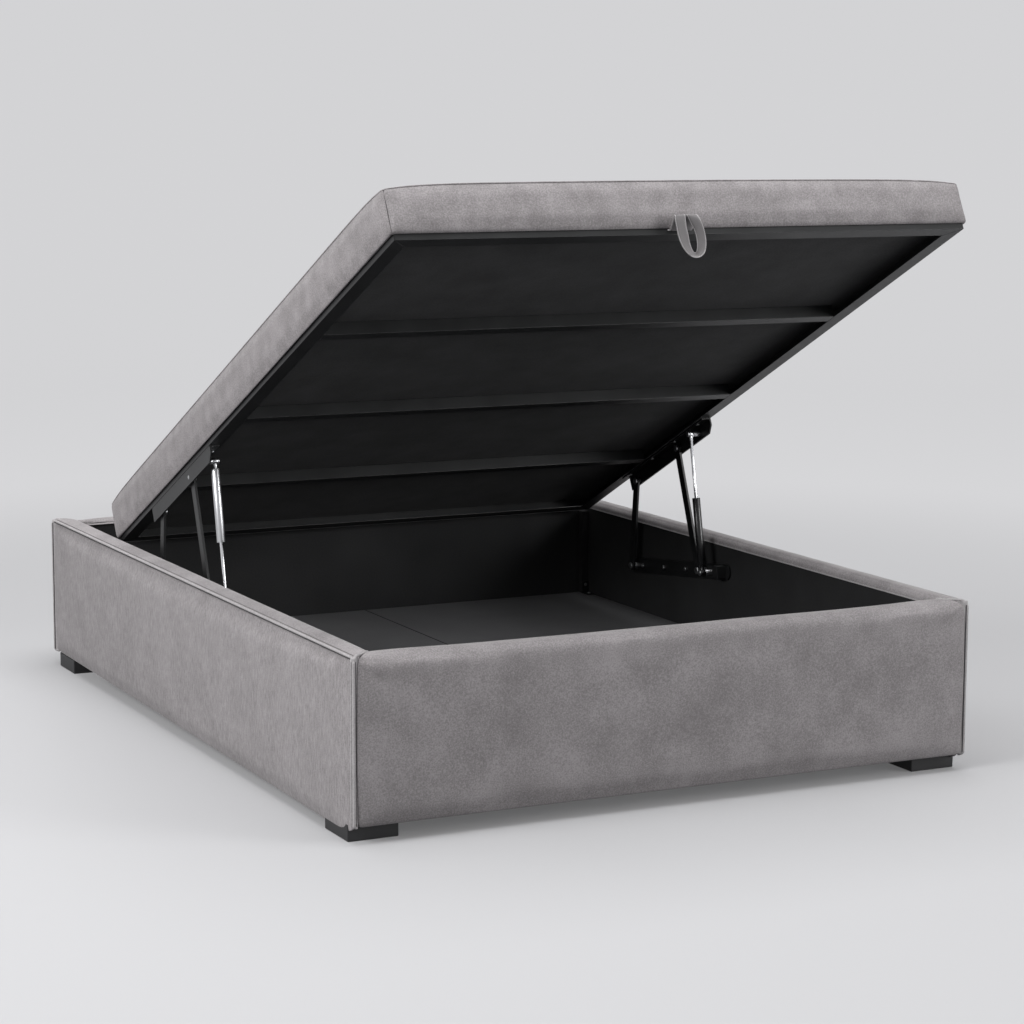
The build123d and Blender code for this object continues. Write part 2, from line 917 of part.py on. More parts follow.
# Pull loop: a webbing band that rises from under the lid's edge, turns over and hangs in a U
loop_root = open_point(frame_inset - loop_hem - seam_gap, -loop_hem - seam_gap)
loop_face_y = loop_root[0] - loop_reach
loop_crest_z = loop_root[1] + loop_rise
loop_half = loop_slot / 2 + loop_band
strand_x = (loop_slot + loop_band) / 2
with BuildPart() as pull_loop:
    for sign in (-1, 1):
        x = loop_x + sign * strand_x
        with BuildSketch(side_plane(x - loop_band / 2)):
            with BuildLine() as fold:
                FilletPolyline(
                    loop_root,
                    (loop_root[0] - loop_tail, loop_root[1]),
                    (loop_face_y + 2 * loop_crest, loop_crest_z),
                    (loop_face_y, loop_crest_z),
                    (loop_face_y, loop_crest_z - loop_length / 2),
                    radius=loop_crest - loop_thickness / 2,
                )
                offset(amount=loop_thickness / 2, side=Side.BOTH)
            make_face()
            with Locations(loop_root):
                Circle(loop_hem)
        extrude(amount=loop_band)
    front = Plane(
        origin=(loop_x, loop_face_y + loop_thickness / 2, loop_crest_z - loop_length + loop_half),
        x_dir=(1, 0, 0),
        z_dir=(0, -1, 0),
    )
    with BuildSketch(front):
        Circle(loop_half)
        Circle(loop_slot / 2, mode=Mode.SUBTRACT)
        with Locations((0, loop_half)):
            Rectangle(2 * loop_half, 2 * loop_half, mode=Mode.SUBTRACT)
        for sign in (-1, 1):
            with Locations((sign * strand_x, (loop_length / 2 - loop_half) / 2)):
                Rectangle(loop_band, loop_length / 2 - loop_half)
    extrude(amount=loop_thickness)
save(pull_loop.part, "pull_loop")

print("front link foot and top", front_foot, front_top, bearing(front_foot, front_top))
print("rear link foot and top", rear_foot, rear_top, bearing(rear_foot, rear_top))
print("strut foot and top", strut_foot, strut_top, strut_length, degrees(strut_angle))
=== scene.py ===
"""Looks of a velvet storage bed base whose padded lid stands open on link arms and gas struts.

Sizes are in millimetres and become metres when a mesh is made. X runs across the bed, Y from
the foot end to the head end and Z up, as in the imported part.
"""

import json
import logging
import math
from collections.abc import Callable, Sequence
from dataclasses import dataclass, field
from enum import Enum

import bmesh
import bpy
from mathutils import Matrix, Vector, noise

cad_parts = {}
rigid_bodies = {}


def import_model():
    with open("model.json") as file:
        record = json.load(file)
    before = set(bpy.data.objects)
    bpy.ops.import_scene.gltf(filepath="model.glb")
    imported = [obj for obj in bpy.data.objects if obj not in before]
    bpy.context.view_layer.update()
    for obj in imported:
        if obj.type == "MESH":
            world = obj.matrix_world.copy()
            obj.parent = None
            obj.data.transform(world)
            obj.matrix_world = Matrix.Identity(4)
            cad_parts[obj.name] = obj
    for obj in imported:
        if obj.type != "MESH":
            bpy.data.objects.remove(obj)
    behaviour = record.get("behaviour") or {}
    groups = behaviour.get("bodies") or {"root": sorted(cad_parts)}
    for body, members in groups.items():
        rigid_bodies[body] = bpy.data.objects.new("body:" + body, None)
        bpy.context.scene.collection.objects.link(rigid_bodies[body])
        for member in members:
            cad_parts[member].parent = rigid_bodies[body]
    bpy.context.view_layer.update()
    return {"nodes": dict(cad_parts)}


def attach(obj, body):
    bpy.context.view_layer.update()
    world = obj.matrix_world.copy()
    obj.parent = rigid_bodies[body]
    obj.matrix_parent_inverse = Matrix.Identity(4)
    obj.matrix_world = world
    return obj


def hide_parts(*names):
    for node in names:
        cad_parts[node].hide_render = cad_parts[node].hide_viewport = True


for leftover in list(bpy.data.objects):
    bpy.data.objects.remove(leftover)
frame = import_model()

LOG = logging.getLogger("bed base")
MM = 0.001

Point = tuple[float, float]
Place = tuple[float, float, float]
Face = tuple[int, ...]
Socket = bpy.types.NodeSocket


class Named(Enum):
    """Option whose name is also a word in node and piece names."""

    @property
    def word(self) -> str:
        """The option's name in small letters."""
        return self.name.lower()


class Side(Named):
    """Side of the bed as seen from the foot end."""

    LEFT = -1
    RIGHT = 1


class End(Named):
    """End of the bed."""

    FOOT = -1
    HEAD = 1


# Materials


def linear(hex_colour: str) -> tuple[float, float, float, float]:
    """Turn an sRGB hex colour into linear values.

    Args:
        hex_colour: Six hex digits.

    Returns:
        Red, green, blue and alpha for a shader socket.
    """
    parts = [int(hex_colour[i : i + 2], 16) / 255 for i in (0, 2, 4)]
    red, green, blue = (v / 12.92 if v <= 0.04045 else ((v + 0.055) / 1.055) ** 2.4 for v in parts)
    return red, green, blue, 1.0


def add_node(tree: bpy.types.NodeTree, kind: str, inputs: dict | None = None, **settings) -> bpy.types.Node:
    """Add a node with its settings, values and links.

    Args:
        tree: Node tree that gets the node.
        kind: Blender's name for the kind of node.
        inputs: Socket name or number to a value, or to the output socket linked to it.
        settings: Properties of the node.

    Returns:
        The new node.
    """
    node = tree.nodes.new(kind)
    for name, value in settings.items():
        setattr(node, name, value)
    for socket, value in (inputs or {}).items():
        if isinstance(value, bpy.types.NodeSocket):
            tree.links.new(value, node.inputs[socket])
        else:
            node.inputs[socket].default_value = value
    return node


def empty_tree(owner: bpy.types.Material | bpy.types.World) -> bpy.types.NodeTree:
    """Clear the nodes of a material or world and return its tree."""
    owner.use_nodes = True
    owner.node_tree.nodes.clear()
    return owner.node_tree


class Net:
    """A node tree that grows step by step."""

    tree: bpy.types.NodeTree

    def step(self, kind: str, inputs: dict | None = None, out: int | str = 0, **settings) -> Socket:
        """Add a node as add_node does and return one of its outputs, the first if none is named."""
        return add_node(self.tree, kind, inputs, **settings).outputs[out]


class Surface(Net):
    """A material while it is built, on the object's own coordinates."""

    def __init__(self, name: str) -> None:
        """Open an empty material.

        Args:
            name: Name of the real material.
        """
        self.made = bpy.data.materials.new(name)
        self.tree = empty_tree(self.made)
        self.place = self.step("ShaderNodeTexCoord", out="Object")

    def noise(self, size: float, at: Socket | None = None, **inputs: float) -> Socket:
        """Noise whose features have a real size.

        Args:
            size: Their size in millimetres.
            at: Coordinates, or none for the object's own.
            inputs: Other inputs of the node.

        Returns:
            Its value.
        """
        inputs.update(Vector=self.place if at is None else at, Scale=1 / (size * MM))
        return self.step("ShaderNodeTexNoise", inputs)

    def mix(self, share: float, first: Socket, second: Socket) -> Socket:
        """Blend of two values, with a share of the second."""
        return self.step("ShaderNodeMix", {0: share, 2: first, 3: second}, data_type="FLOAT")

    def ramp(self, factor: Socket, *stops: tuple[float, str]) -> Socket:
        """Colour picked by a value.

        Args:
            factor: The value.
            stops: Place and hex colour of each stop.

        Returns:
            The colour.
        """
        ramp = add_node(self.tree, "ShaderNodeValToRGB", {"Fac": factor})
        elements = ramp.color_ramp.elements
        while len(elements) < len(stops):
            elements.new(0.5)
        for element, (place, colour) in zip(elements, stops):
            element.position = place
            element.color = linear(colour)
        return ramp.outputs["Color"]

    def bump(self, height: Socket, strength: float, distance: float) -> Socket:
        """Normal of a relief whose full height is a distance in millimetres."""
        inputs = {"Height": height, "Strength": strength, "Distance": distance * MM}
        return self.step("ShaderNodeBump", inputs)

    def gloss(self, value: Socket, low: float, high: float) -> Socket:
        """Roughness that a value moves from low to high."""
        return self.step("ShaderNodeMapRange", {"Value": value, "To Min": low, "To Max": high})

    def close(self, shader: Socket) -> bpy.types.Material:
        """End the tree with its shader and return the material."""
        add_node(self.tree, "ShaderNodeOutputMaterial", {"Surface": shader})
        return self.made


@dataclass(frozen=True)
class Finish:
    """A finish, named for the real material; each kind has its own layers."""

    name: str

    def layers(self, surface: Surface) -> dict:
        """Shader inputs that differ from the plain ones, with underscores for spaces."""
        return {}

    def material(self) -> bpy.types.Material:
        """Build the finish.

        Returns:
            The material.
        """
        surface = Surface(self.name)
        inputs = {name.replace("_", " "): value for name, value in self.layers(surface).items()}
        return surface.close(surface.step("ShaderNodeBsdfPrincipled", inputs))


@dataclass(frozen=True)
class Velvet(Finish):
    """Brushed short-pile velvet: soft broad shading where the pile was stroked, no gloss."""

    pale: str = "aca7a9"
    middle: str = "9a9697"
    deep: str = "888485"
    patch: float = 95.0
    streak: float = 26.0
    streak_length: float = 150.0
    streak_share: float = 0.4
    grain: float = 3.2
    grain_share: float = 0.6
    pile: float = 2.1
    tilt: float = 0.0

    def layers(self, surface: Surface) -> dict:
        across, along = 1 / (self.streak * MM), 1 / (self.streak_length * MM)
        turned = surface.step("ShaderNodeMapping", {"Vector": surface.place, "Rotation": (self.tilt, 0, 0)})
        stretched = surface.step("ShaderNodeMapping", {"Vector": turned, "Scale": (across, across, along)})
        patches = surface.noise(self.patch, turned, Detail=3.0, Roughness=0.55)
        streaks = surface.noise(1 / MM, stretched, Detail=2.0, Roughness=0.5, Distortion=0.4)
        grain = surface.noise(self.grain, Detail=3.0, Roughness=0.6)
        pile = surface.noise(self.pile, Detail=3.0, Roughness=0.6)
        shade = surface.mix(self.grain_share, surface.mix(self.streak_share, patches, streaks), grain)
        return dict(
            Base_Color=surface.ramp(shade, (0.38, self.deep), (0.5, self.middle), (0.62, self.pale)),
            Normal=surface.bump(pile, 0.35, 0.6),
            Roughness=0.95, Specular_IOR_Level=0.12,
            Sheen_Weight=0.3, Sheen_Roughness=0.38, Sheen_Tint=linear("f2f0f1"),
        )


@dataclass(frozen=True)
class Felt(Finish):
    """Black non-woven lining felt: matt, with a faint matted fibre."""

    pale: str = "2a2a2b"
    deep: str = "1d1d1e"
    fibre: float = 3.5
    cloud: float = 140.0
    roughness: float = 0.9

    def layers(self, surface: Surface) -> dict:
        cloud = surface.noise(self.cloud, Detail=2.0)
        fibre = surface.noise(self.fibre, Detail=5.0, Roughness=0.7)
        return dict(
            Base_Color=surface.ramp(surface.mix(0.5, cloud, fibre), (0.35, self.deep), (0.65, self.pale)),
            Normal=surface.bump(fibre, 0.3, 0.4),
            Roughness=self.roughness, Specular_IOR_Level=0.3, Sheen_Weight=0.06, Sheen_Roughness=0.5,
        )


@dataclass(frozen=True)
class Coating(Finish):
    """Powder coat or moulded plastic: satin, with a very fine orange peel."""

    colour: str = "101112"
    worn: str = "18191a"
    roughness: float = 0.42
    peel: float = 2.2
    cloud: float = 60.0

    def layers(self, surface: Surface) -> dict:
        peel = surface.noise(self.peel, Detail=2.0)
        cloud = surface.noise(self.cloud, Detail=3.0)
        return dict(
            Base_Color=surface.ramp(cloud, (0.35, self.colour), (0.7, self.worn)),
            Roughness=surface.gloss(cloud, self.roughness - 0.05, self.roughness + 0.07),
            Normal=surface.bump(peel, 0.12, 0.1),
        )


@dataclass(frozen=True)
class BareMetal(Finish):
    """Ground or plated steel: bright, with faint marks from turning or drawing."""

    colour: str
    roughness: float
    mark: float = 1.4

    def layers(self, surface: Surface) -> dict:
        marks = surface.noise(self.mark, Detail=3.0)
        return dict(
            Base_Color=linear(self.colour), Metallic=1.0,
            Roughness=surface.gloss(marks, self.roughness - 0.06, self.roughness + 0.1),
        )


@dataclass(frozen=True)
class PressedBoard(Finish):
    """Pressed board with chips of wood."""

    pale: str = "a58c6c"
    deep: str = "7d6748"
    chip: float = 7.0
    cloud: float = 90.0

    def layers(self, surface: Surface) -> dict:
        cells = {"Vector": surface.place, "Scale": 1 / (self.chip * MM)}
        chips = surface.step("ShaderNodeTexVoronoi", cells, "Distance")
        cloud = surface.noise(self.cloud, Detail=4.0)
        return dict(
            Base_Color=surface.ramp(surface.mix(0.5, chips, cloud), (0.25, self.deep), (0.7, self.pale)),
            Roughness=0.8, Normal=surface.bump(chips, 0.1, 0.2),
        )


@dataclass(frozen=True)
class Webbing(Finish):
    """Woven polyester webbing: satin thread in fine cross ribs that follow the strap's own UV map."""

    pale: str = "949192"
    deep: str = "737071"
    rib: float = 1.1
    fibre: float = 1.2

    def layers(self, surface: Surface) -> dict:
        strip = surface.step("ShaderNodeUVMap", uv_map="UVMap")
        scale = 1 / (self.rib * MM) / (2 * math.pi)
        waves = {"Vector": strip, "Scale": scale, "Distortion": 0.6, "Detail": 1.0}
        ribs = surface.step("ShaderNodeTexWave", waves, "Fac", wave_type="BANDS", bands_direction="Y")
        threads = surface.noise(self.fibre, strip, Detail=3.0)
        return dict(
            # The colour follows the ribs: painted highlight on the rib tops and painted shade in the furrows
            Base_Color=surface.ramp(surface.mix(0.45, ribs, threads), (0.2, self.deep), (0.8, self.pale)),
            Normal=surface.bump(ribs, 0.4, 0.3),
            Roughness=0.7, Sheen_Weight=0.15, Sheen_Roughness=0.4,
        )


class Finishes:
    """All finishes of the bed base, each made once."""

    def __init__(self, tilt: float) -> None:
        """Make the materials.

        Args:
            tilt: Angle in radians that the open lid leans, which its pile follows.
        """
        # Short pile scatters light softly: the end panels only look mottled
        self.velvet = Velvet("Brushed velvet", streak_share=0.15).material()
        # Stroking the side panels upwards left fine upright streaks
        self.side_velvet = Velvet(
            "Brushed velvet of the sides",
            patch=80, streak=4, streak_length=20, streak_share=0.7, grain_share=0.35,
        ).material()
        self.lid_velvet = Velvet(
            "Brushed velvet of the lid", "a7a2a4", "959192", "837f80", patch=45, streak_share=0.2, tilt=tilt
        ).material()
        # Painted highlight: the cords get a paler, finer-patched velvet so that their rounded ridges read
        # light
        self.piping = Velvet(
            "Velvet piping cord", "bdbabb", "b1aeaf", "a3a0a1", patch=40, streak=12
        ).material()
        # Painted shade: dark thread laid in seam creases and grooves stands in for the shadow that falls in
        # them
        self.thread = Felt("Dark thread of painted crease shade", "4a4849", "333132", fibre=1.0).material()
        self.grey_thread = Felt("Grey sewing thread", "807d7e", "6b6869", fibre=1.0).material()
        self.pale_thread = Felt("Pale sewing thread", "d6d3d4", "b5b2b3", fibre=1.0).material()
        # Matted fibres kill every reflection
        self.felt = Felt("Black lining felt").material()
        self.lid_felt = Felt(
            "Black underside cloth", "323233", "121213", fibre=5.0, cloud=90, roughness=0.8
        ).material()
        self.panel_felt = Felt("Black felt of the rear panel", "373738", "282829", cloud=220).material()
        self.floor_felt = Felt("Charcoal floor covering", "5f5f61", "505052", cloud=220).material()
        # Baked powder levels out to a satin black skin
        self.steel = Coating("Satin black powder coat").material()
        self.plastic = Coating("Satin black moulded plastic", "141415", "1c1c1e", 0.5).material()
        self.barrel = Coating("Gloss black strut tube", "161617", "1d1d1f", 0.22).material()
        # Zinc plate and hard chrome mirror the room in thin bright lines
        self.zinc = BareMetal("Zinc plated steel", "bfc0c2", 0.3).material()
        self.chrome = BareMetal("Ground chromed rod", "dadbdd", 0.14).material()
        # Pressed chips show where no cloth covers the board
        self.board = PressedBoard("Pressed chip board").material()
        # Its cross ribs catch the light as the loop turns: the bump shades them, and the colour also paints
        # pale rib tops and dark furrows, a painted highlight and shade
        self.webbing = Webbing("Woven grey webbing").material()


# Meshes


def place_object(name: str, data: bpy.types.ID) -> bpy.types.Object:
    """Put an object with the given data in the scene."""
    item = bpy.data.objects.new(name, data)
    bpy.context.scene.collection.objects.link(item)
    return item


def make_piece(
    name: str,
    points: Sequence[Place],
    faces: Sequence[Sequence[int]],
    material: bpy.types.Material | None = None,
    edges: Sequence[tuple[int, int]] = (),
) -> bpy.types.Object:
    """Make an object at the origin from points in millimetres.

    Args:
        name: Name of the piece.
        points: Its points.
        faces: Point numbers of each face.
        material: Material of all faces.
        edges: Point pairs, for a path without faces.

    Returns:
        The object, smooth shaded.
    """
    mesh = bpy.data.meshes.new(name)
    mesh.from_pydata([tuple(v * MM for v in p) for p in points], edges, faces)
    mesh.validate()
    mesh.polygons.foreach_set("use_smooth", [True] * len(mesh.polygons))
    if material:
        mesh.materials.append(material)
    return place_object(name, mesh)


def net_faces(size: int, end: int, start: int = 0, closed: bool = True, flip: bool = False) -> list[Face]:
    """Faces between rows of points that follow each other.

    Args:
        size: Points in a row.
        end: Number after the last point.
        start: Number of the first point.
        closed: Whether each row is a ring.
        flip: Whether the faces look the other way.

    Returns:
        Point numbers of each face.
    """
    faces = []
    for a in range(start, end - size, size):
        for i in range(size if closed else size - 1):
            j = (i + 1) % size
            far, beside = a + size + i, a + j
            faces.append((a + i, far, a + size + j, beside) if flip else (a + i, beside, a + size + j, far))
    return faces


def face_outwards(piece: bpy.types.Object) -> None:
    """Turn all faces of a closed piece outwards."""
    work = bmesh.new()
    work.from_mesh(piece.data)
    bmesh.ops.recalc_face_normals(work, faces=work.faces)
    work.to_mesh(piece.data)
    work.free()


def give(piece: bpy.types.Object, body: str, node: str | None = None) -> None:
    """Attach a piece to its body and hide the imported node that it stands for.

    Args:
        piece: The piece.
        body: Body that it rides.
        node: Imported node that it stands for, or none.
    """
    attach(piece, body)
    if node:
        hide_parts(node)


def apply_modifiers(piece: bpy.types.Object) -> None:
    """Turn a piece with modifiers into a plain mesh.

    Args:
        piece: The piece, changed in place.
    """
    bpy.context.view_layer.update()
    evaluated = piece.evaluated_get(bpy.context.evaluated_depsgraph_get())
    mesh = bpy.data.meshes.new_from_object(evaluated)
    piece.modifiers.clear()
    old = piece.data
    piece.data = mesh
    bpy.data.meshes.remove(old)
    mesh.name = piece.name


def arc(centre: Point, radius: float, start: float, end: float, steps: int) -> list[Point]:
    """Points along an arc.

    Args:
        centre: Centre of the arc.
        radius: Its radius.
        start: Angle of its first point in degrees.
        end: Angle of its last point in degrees.
        steps: Number of spans.

    Returns:
        The points, both ends included.
    """
    angles = (math.radians(start + (end - start) * i / steps) for i in range(steps + 1))
    return [(centre[0] + radius * math.cos(a), centre[1] + radius * math.sin(a)) for a in angles]


def evenly(start: float, end: float, pitch: float) -> list[float]:
    """Values from start to end, both included, about one pitch apart."""
    count = max(1, round(abs(end - start) / pitch))
    return [start + (end - start) * i / count for i in range(count + 1)]


def eased(length: float, pitch: float, soft: float) -> list[float]:
    """Places along a seam-to-seam run, closer together near both seams.

    Args:
        length: Half the run's length.
        pitch: Distance between places away from the seams.
        soft: Distance from each seam in which the places are close.

    Returns:
        Places from minus length to length.
    """
    near = [length - soft * (1 - math.cos(math.pi / 2 * i / 6)) for i in range(6)]
    return [-v for v in near] + evenly(soft - length, length - soft, pitch) + near[::-1]


def swell(place: Place, size: float, height: float, seed: float) -> float:
    """Slow unevenness of hand-laid padding at a place, in millimetres."""
    spot = Vector((place[0] / size + seed, place[1] / size, place[2] / size))
    return height * noise.noise(spot)


@dataclass
class PadWorker:
    """Cloth simulation that fills a pad: air pressure inside, seams held, no gravity."""

    cap: float
    pressure: float = 4.0
    frames: int = 20
    stiffness: float = 15.0

    def fill(self, pad: bpy.types.Object, held: Sequence[int]) -> None:
        """Inflate a pad, cap each point's travel and apply the result.

        Args:
            pad: Closed mesh of the pad, changed in place.
            held: Numbers of the points that seams and boards hold.
        """
        group = pad.vertex_groups.new(name="held")
        group.add(list(held), 1.0, "REPLACE")
        cloth = pad.modifiers.new("Fill", "CLOTH")
        values = {
            "use_pressure": True, "uniform_pressure_force": self.pressure, "vertex_group_mass": group.name,
            "pin_stiffness": 1.0, "quality": 5, "mass": 0.4, "bending_stiffness": 2.0,
        }
        for way in ("tension", "compression", "shear"):
            values[f"{way}_stiffness"] = self.stiffness
        for name, value in values.items():
            setattr(cloth.settings, name, value)
        cloth.settings.effector_weights.gravity = 0.0
        cloth.collision_settings.use_collision = False
        cloth.point_cache.frame_end = self.frames
        scene = bpy.context.scene
        for step in range(1, self.frames + 1):
            scene.frame_set(step)
        evaluated = pad.evaluated_get(bpy.context.evaluated_depsgraph_get())
        filled = evaluated.to_mesh()
        moved = [after.co - before.co for after, before in zip(filled.vertices, pad.data.vertices)]
        evaluated.to_mesh_clear()
        pad.modifiers.remove(cloth)
        pad.vertex_groups.remove(group)
        limit = self.cap * MM
        for point, move in zip(pad.data.vertices, moved):
            if move.length > limit:
                move = move * (limit / move.length)
            point.co += move
        scene.frame_set(1)


def modify(piece: bpy.types.Object, kind: str, **settings) -> None:
    """Run a modifier on a piece and keep the result.

    Args:
        piece: The piece, changed in place.
        kind: Blender's name for the kind of modifier.
        settings: Its properties.
    """
    modifier = piece.modifiers.new(kind, kind)
    for name, value in settings.items():
        setattr(modifier, name, value)
    apply_modifiers(piece)


def subdivide(piece: bpy.types.Object) -> None:
    """Subdivide a piece smoothly once, in place."""
    modify(piece, "SUBSURF", levels=1, render_levels=1)


def bevelled_copy(
    node: str, material: bpy.types.Material, width: float, body: str, level: bool = True
) -> None:
    """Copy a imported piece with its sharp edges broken, as a pressed or moulded edge is.

    Args:
        node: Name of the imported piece, which the copy stands for.
        material: Its material.
        width: Width of the broken edge in millimetres.
        body: Body that it rides.
        level: Whether its broad faces are flat and shade so, as on a plate but not on a rod.
    """
    weld, flat, edge, crease = 0.01 * MM, math.radians(1), math.radians(35), math.radians(40)
    source = frame["nodes"][node]
    work = bmesh.new()
    work.from_mesh(source.data)
    bmesh.ops.remove_doubles(work, verts=work.verts, dist=weld)
    bmesh.ops.dissolve_limit(work, angle_limit=flat, verts=work.verts, edges=work.edges)
    mesh = bpy.data.meshes.new(node)
    work.to_mesh(mesh)
    work.free()
    mesh.transform(source.matrix_world)
    piece = place_object(f"{node}_finished", mesh)
    mesh.materials.append(material)
    modify(
        piece, "BEVEL", width=width * MM, segments=2, limit_method="ANGLE", angle_limit=edge,
        use_clamp_overlap=True,
    )
    loaded = piece.data.attributes.get("custom_normal")
    if level and loaded:
        piece.data.attributes.remove(loaded)
    piece.data.polygons.foreach_set("use_smooth", [True] * len(piece.data.polygons))
    piece.data.set_sharp_from_angle(angle=crease)
    if level:
        modify(piece, "WEIGHTED_NORMAL", mode="FACE_AREA", weight=100, keep_sharp=True)
    give(piece, body, node)
    LOG.info("%s: %d faces", piece.name, len(piece.data.polygons))


def paint(nodes: Sequence[str], material: bpy.types.Material) -> None:
    """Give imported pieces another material.

    Args:
        nodes: Their names.
        material: The material of all their slots.
    """
    for node in nodes:
        for slot in frame["nodes"][node].material_slots:
            slot.material = material


# Geometry Nodes for what repeats or follows a path


@dataclass
class Recipe(Net):
    """A Geometry Nodes tree with named inputs, run once on an object."""

    name: str
    sizes: dict[str, float]
    tree: bpy.types.NodeTree = field(init=False)
    start: bpy.types.Node = field(init=False)

    def __post_init__(self) -> None:
        """Open the tree and give it its named inputs."""
        self.tree = bpy.data.node_groups.new(self.name, "GeometryNodeTree")
        kinds = {"Geometry": "Geometry", "Material": "Material"} | dict.fromkeys(self.sizes, "Float")
        for name, kind in kinds.items():
            self.tree.interface.new_socket(name, in_out="INPUT", socket_type=f"NodeSocket{kind}")
        self.tree.interface.new_socket("Geometry", in_out="OUTPUT", socket_type="NodeSocketGeometry")
        self.start = self.tree.nodes.new("NodeGroupInput")

    def given(self, name: str) -> Socket:
        """Socket of one named input."""
        return self.start.outputs[name]

    def finish(self, result: Socket) -> None:
        """End the tree with real, smooth and painted geometry.

        Args:
            result: Socket with the geometry made so far.
        """
        real = self.step("GeometryNodeRealizeInstances", {0: result})
        smooth = self.step("GeometryNodeSetShadeSmooth", {"Geometry": real})
        coat = {"Geometry": smooth, "Material": self.given("Material")}
        add_node(self.tree, "NodeGroupOutput", {0: self.step("GeometryNodeSetMaterial", coat)})

    def run(self, piece: bpy.types.Object, material: bpy.types.Material, **sizes: float) -> bpy.types.Object:
        """Run the tree on a path or points and keep the result as a plain mesh.

        Args:
            piece: Object whose mesh is the path or the points, changed in place.
            material: Material of the result.
            sizes: Values in millimetres for named inputs.

        Returns:
            The piece.
        """
        modifier = piece.modifiers.new(self.name, "NODES")
        modifier.node_group = self.tree
        values = self.sizes | sizes
        for item in self.tree.interface.items_tree:
            if item.in_out == "INPUT" and item.name in values:
                modifier[item.identifier] = values[item.name] * MM
            elif item.in_out == "INPUT" and item.name == "Material":
                modifier[item.identifier] = material
        apply_modifiers(piece)
        return piece


def welt_recipe() -> Recipe:
    """Round cord along a path.

    Returns:
        The recipe, with Radius as its input.
    """
    recipe = Recipe("Welt cord", {"Radius": 2.5})
    path = recipe.step("GeometryNodeMeshToCurve", {0: recipe.given("Geometry")})
    sizes = {"Resolution": 10, "Radius": recipe.given("Radius")}
    ring = recipe.step("GeometryNodeCurvePrimitiveCircle", sizes)
    tube = recipe.step("GeometryNodeCurveToMesh", {"Curve": path, "Profile Curve": ring, "Fill Caps": True})
    recipe.finish(tube)
    return recipe


def stitch_recipe() -> Recipe:
    """Row of short stitches along a path.

    Returns:
        The recipe, with Pitch, Length and Thickness as its inputs.
    """
    recipe = Recipe("Stitch row", {"Pitch": 5.0, "Length": 3.6, "Thickness": 0.8})
    path = recipe.step("GeometryNodeMeshToCurve", {0: recipe.given("Geometry")})
    pitch = {"Curve": path, "Length": recipe.given("Pitch")}
    spaced = recipe.step("GeometryNodeResampleCurve", pitch, mode="LENGTH")
    ball = recipe.step("GeometryNodeMeshIcoSphere", {"Radius": 0.5, "Subdivisions": 2})
    wide = recipe.given("Thickness")
    size = recipe.step("ShaderNodeCombineXYZ", {0: wide, 1: wide, 2: recipe.given("Length")})
    along = recipe.step("GeometryNodeInputTangent")
    aim = recipe.step("FunctionNodeAlignRotationToVector", {"Vector": along}, axis="Z")
    row = {"Points": spaced, "Instance": ball, "Rotation": aim, "Scale": size}
    recipe.finish(recipe.step("GeometryNodeInstanceOnPoints", row))
    return recipe


def path_piece(name: str, runs: Sequence[Sequence[Place]], closed: bool = False) -> bpy.types.Object:
    """Object whose edges are one or more paths.

    Args:
        name: Name of the piece.
        runs: Points of each path.
        closed: Whether each path ends where it starts.

    Returns:
        The object.
    """
    points: list[Place] = []
    edges: list[tuple[int, int]] = []
    for run in runs:
        first = len(points)
        points.extend(run)
        edges.extend((first + i, first + i + 1) for i in range(len(run) - 1))
        if closed:
            edges.append((len(points) - 1, first))
    return make_piece(name, points, [], edges=edges)


def rounded_path(corners: Sequence[Place], radius: float, steps: int = 8) -> list[Place]:
    """Polyline whose inner corners are rounded.

    Args:
        corners: Its corners.
        radius: Radius of each rounding.
        steps: Spans in each rounding.

    Returns:
        Points of the rounded line.
    """
    path: list[Vector] = [Vector(corners[0])]
    for before, here, after in zip(corners, corners[1:], corners[2:]):
        corner, back, on = Vector(here), Vector(before) - Vector(here), Vector(after) - Vector(here)
        turn = math.pi - back.angle(on)
        reach = min(radius * math.tan(turn / 2), 0.48 * back.length, 0.48 * on.length)
        first, last = corner + back.normalized() * reach, corner + on.normalized() * reach
        for i in range(steps + 1):
            t = i / steps
            path.append(first * (1 - t) ** 2 + corner * (2 * t * (1 - t)) + last * t**2)
    path.append(Vector(corners[-1]))
    return [tuple(p) for p in path]


# The lid's place


@dataclass(frozen=True)
class LidPlace:
    """Where the open lid stands: s runs from its front edge back, h along its normal."""

    front_y: float = -1057.717
    front_z: float = 1229.782
    angle: float = 26.2

    @property
    def tilt(self) -> float:
        """The lid's angle in radians."""
        return math.radians(self.angle)

    def at(self, x: float, s: float, h: float) -> Place:
        """Place of a lid point.

        Args:
            x: Distance across the bed.
            s: Distance from the front edge.
            h: Height along the lid's normal.

        Returns:
            The point in the bed's own directions.
        """
        cos, sin = math.cos(self.tilt), math.sin(self.tilt)
        return x, self.front_y + s * cos + h * sin, self.front_z - s * sin + h * cos


# Base box


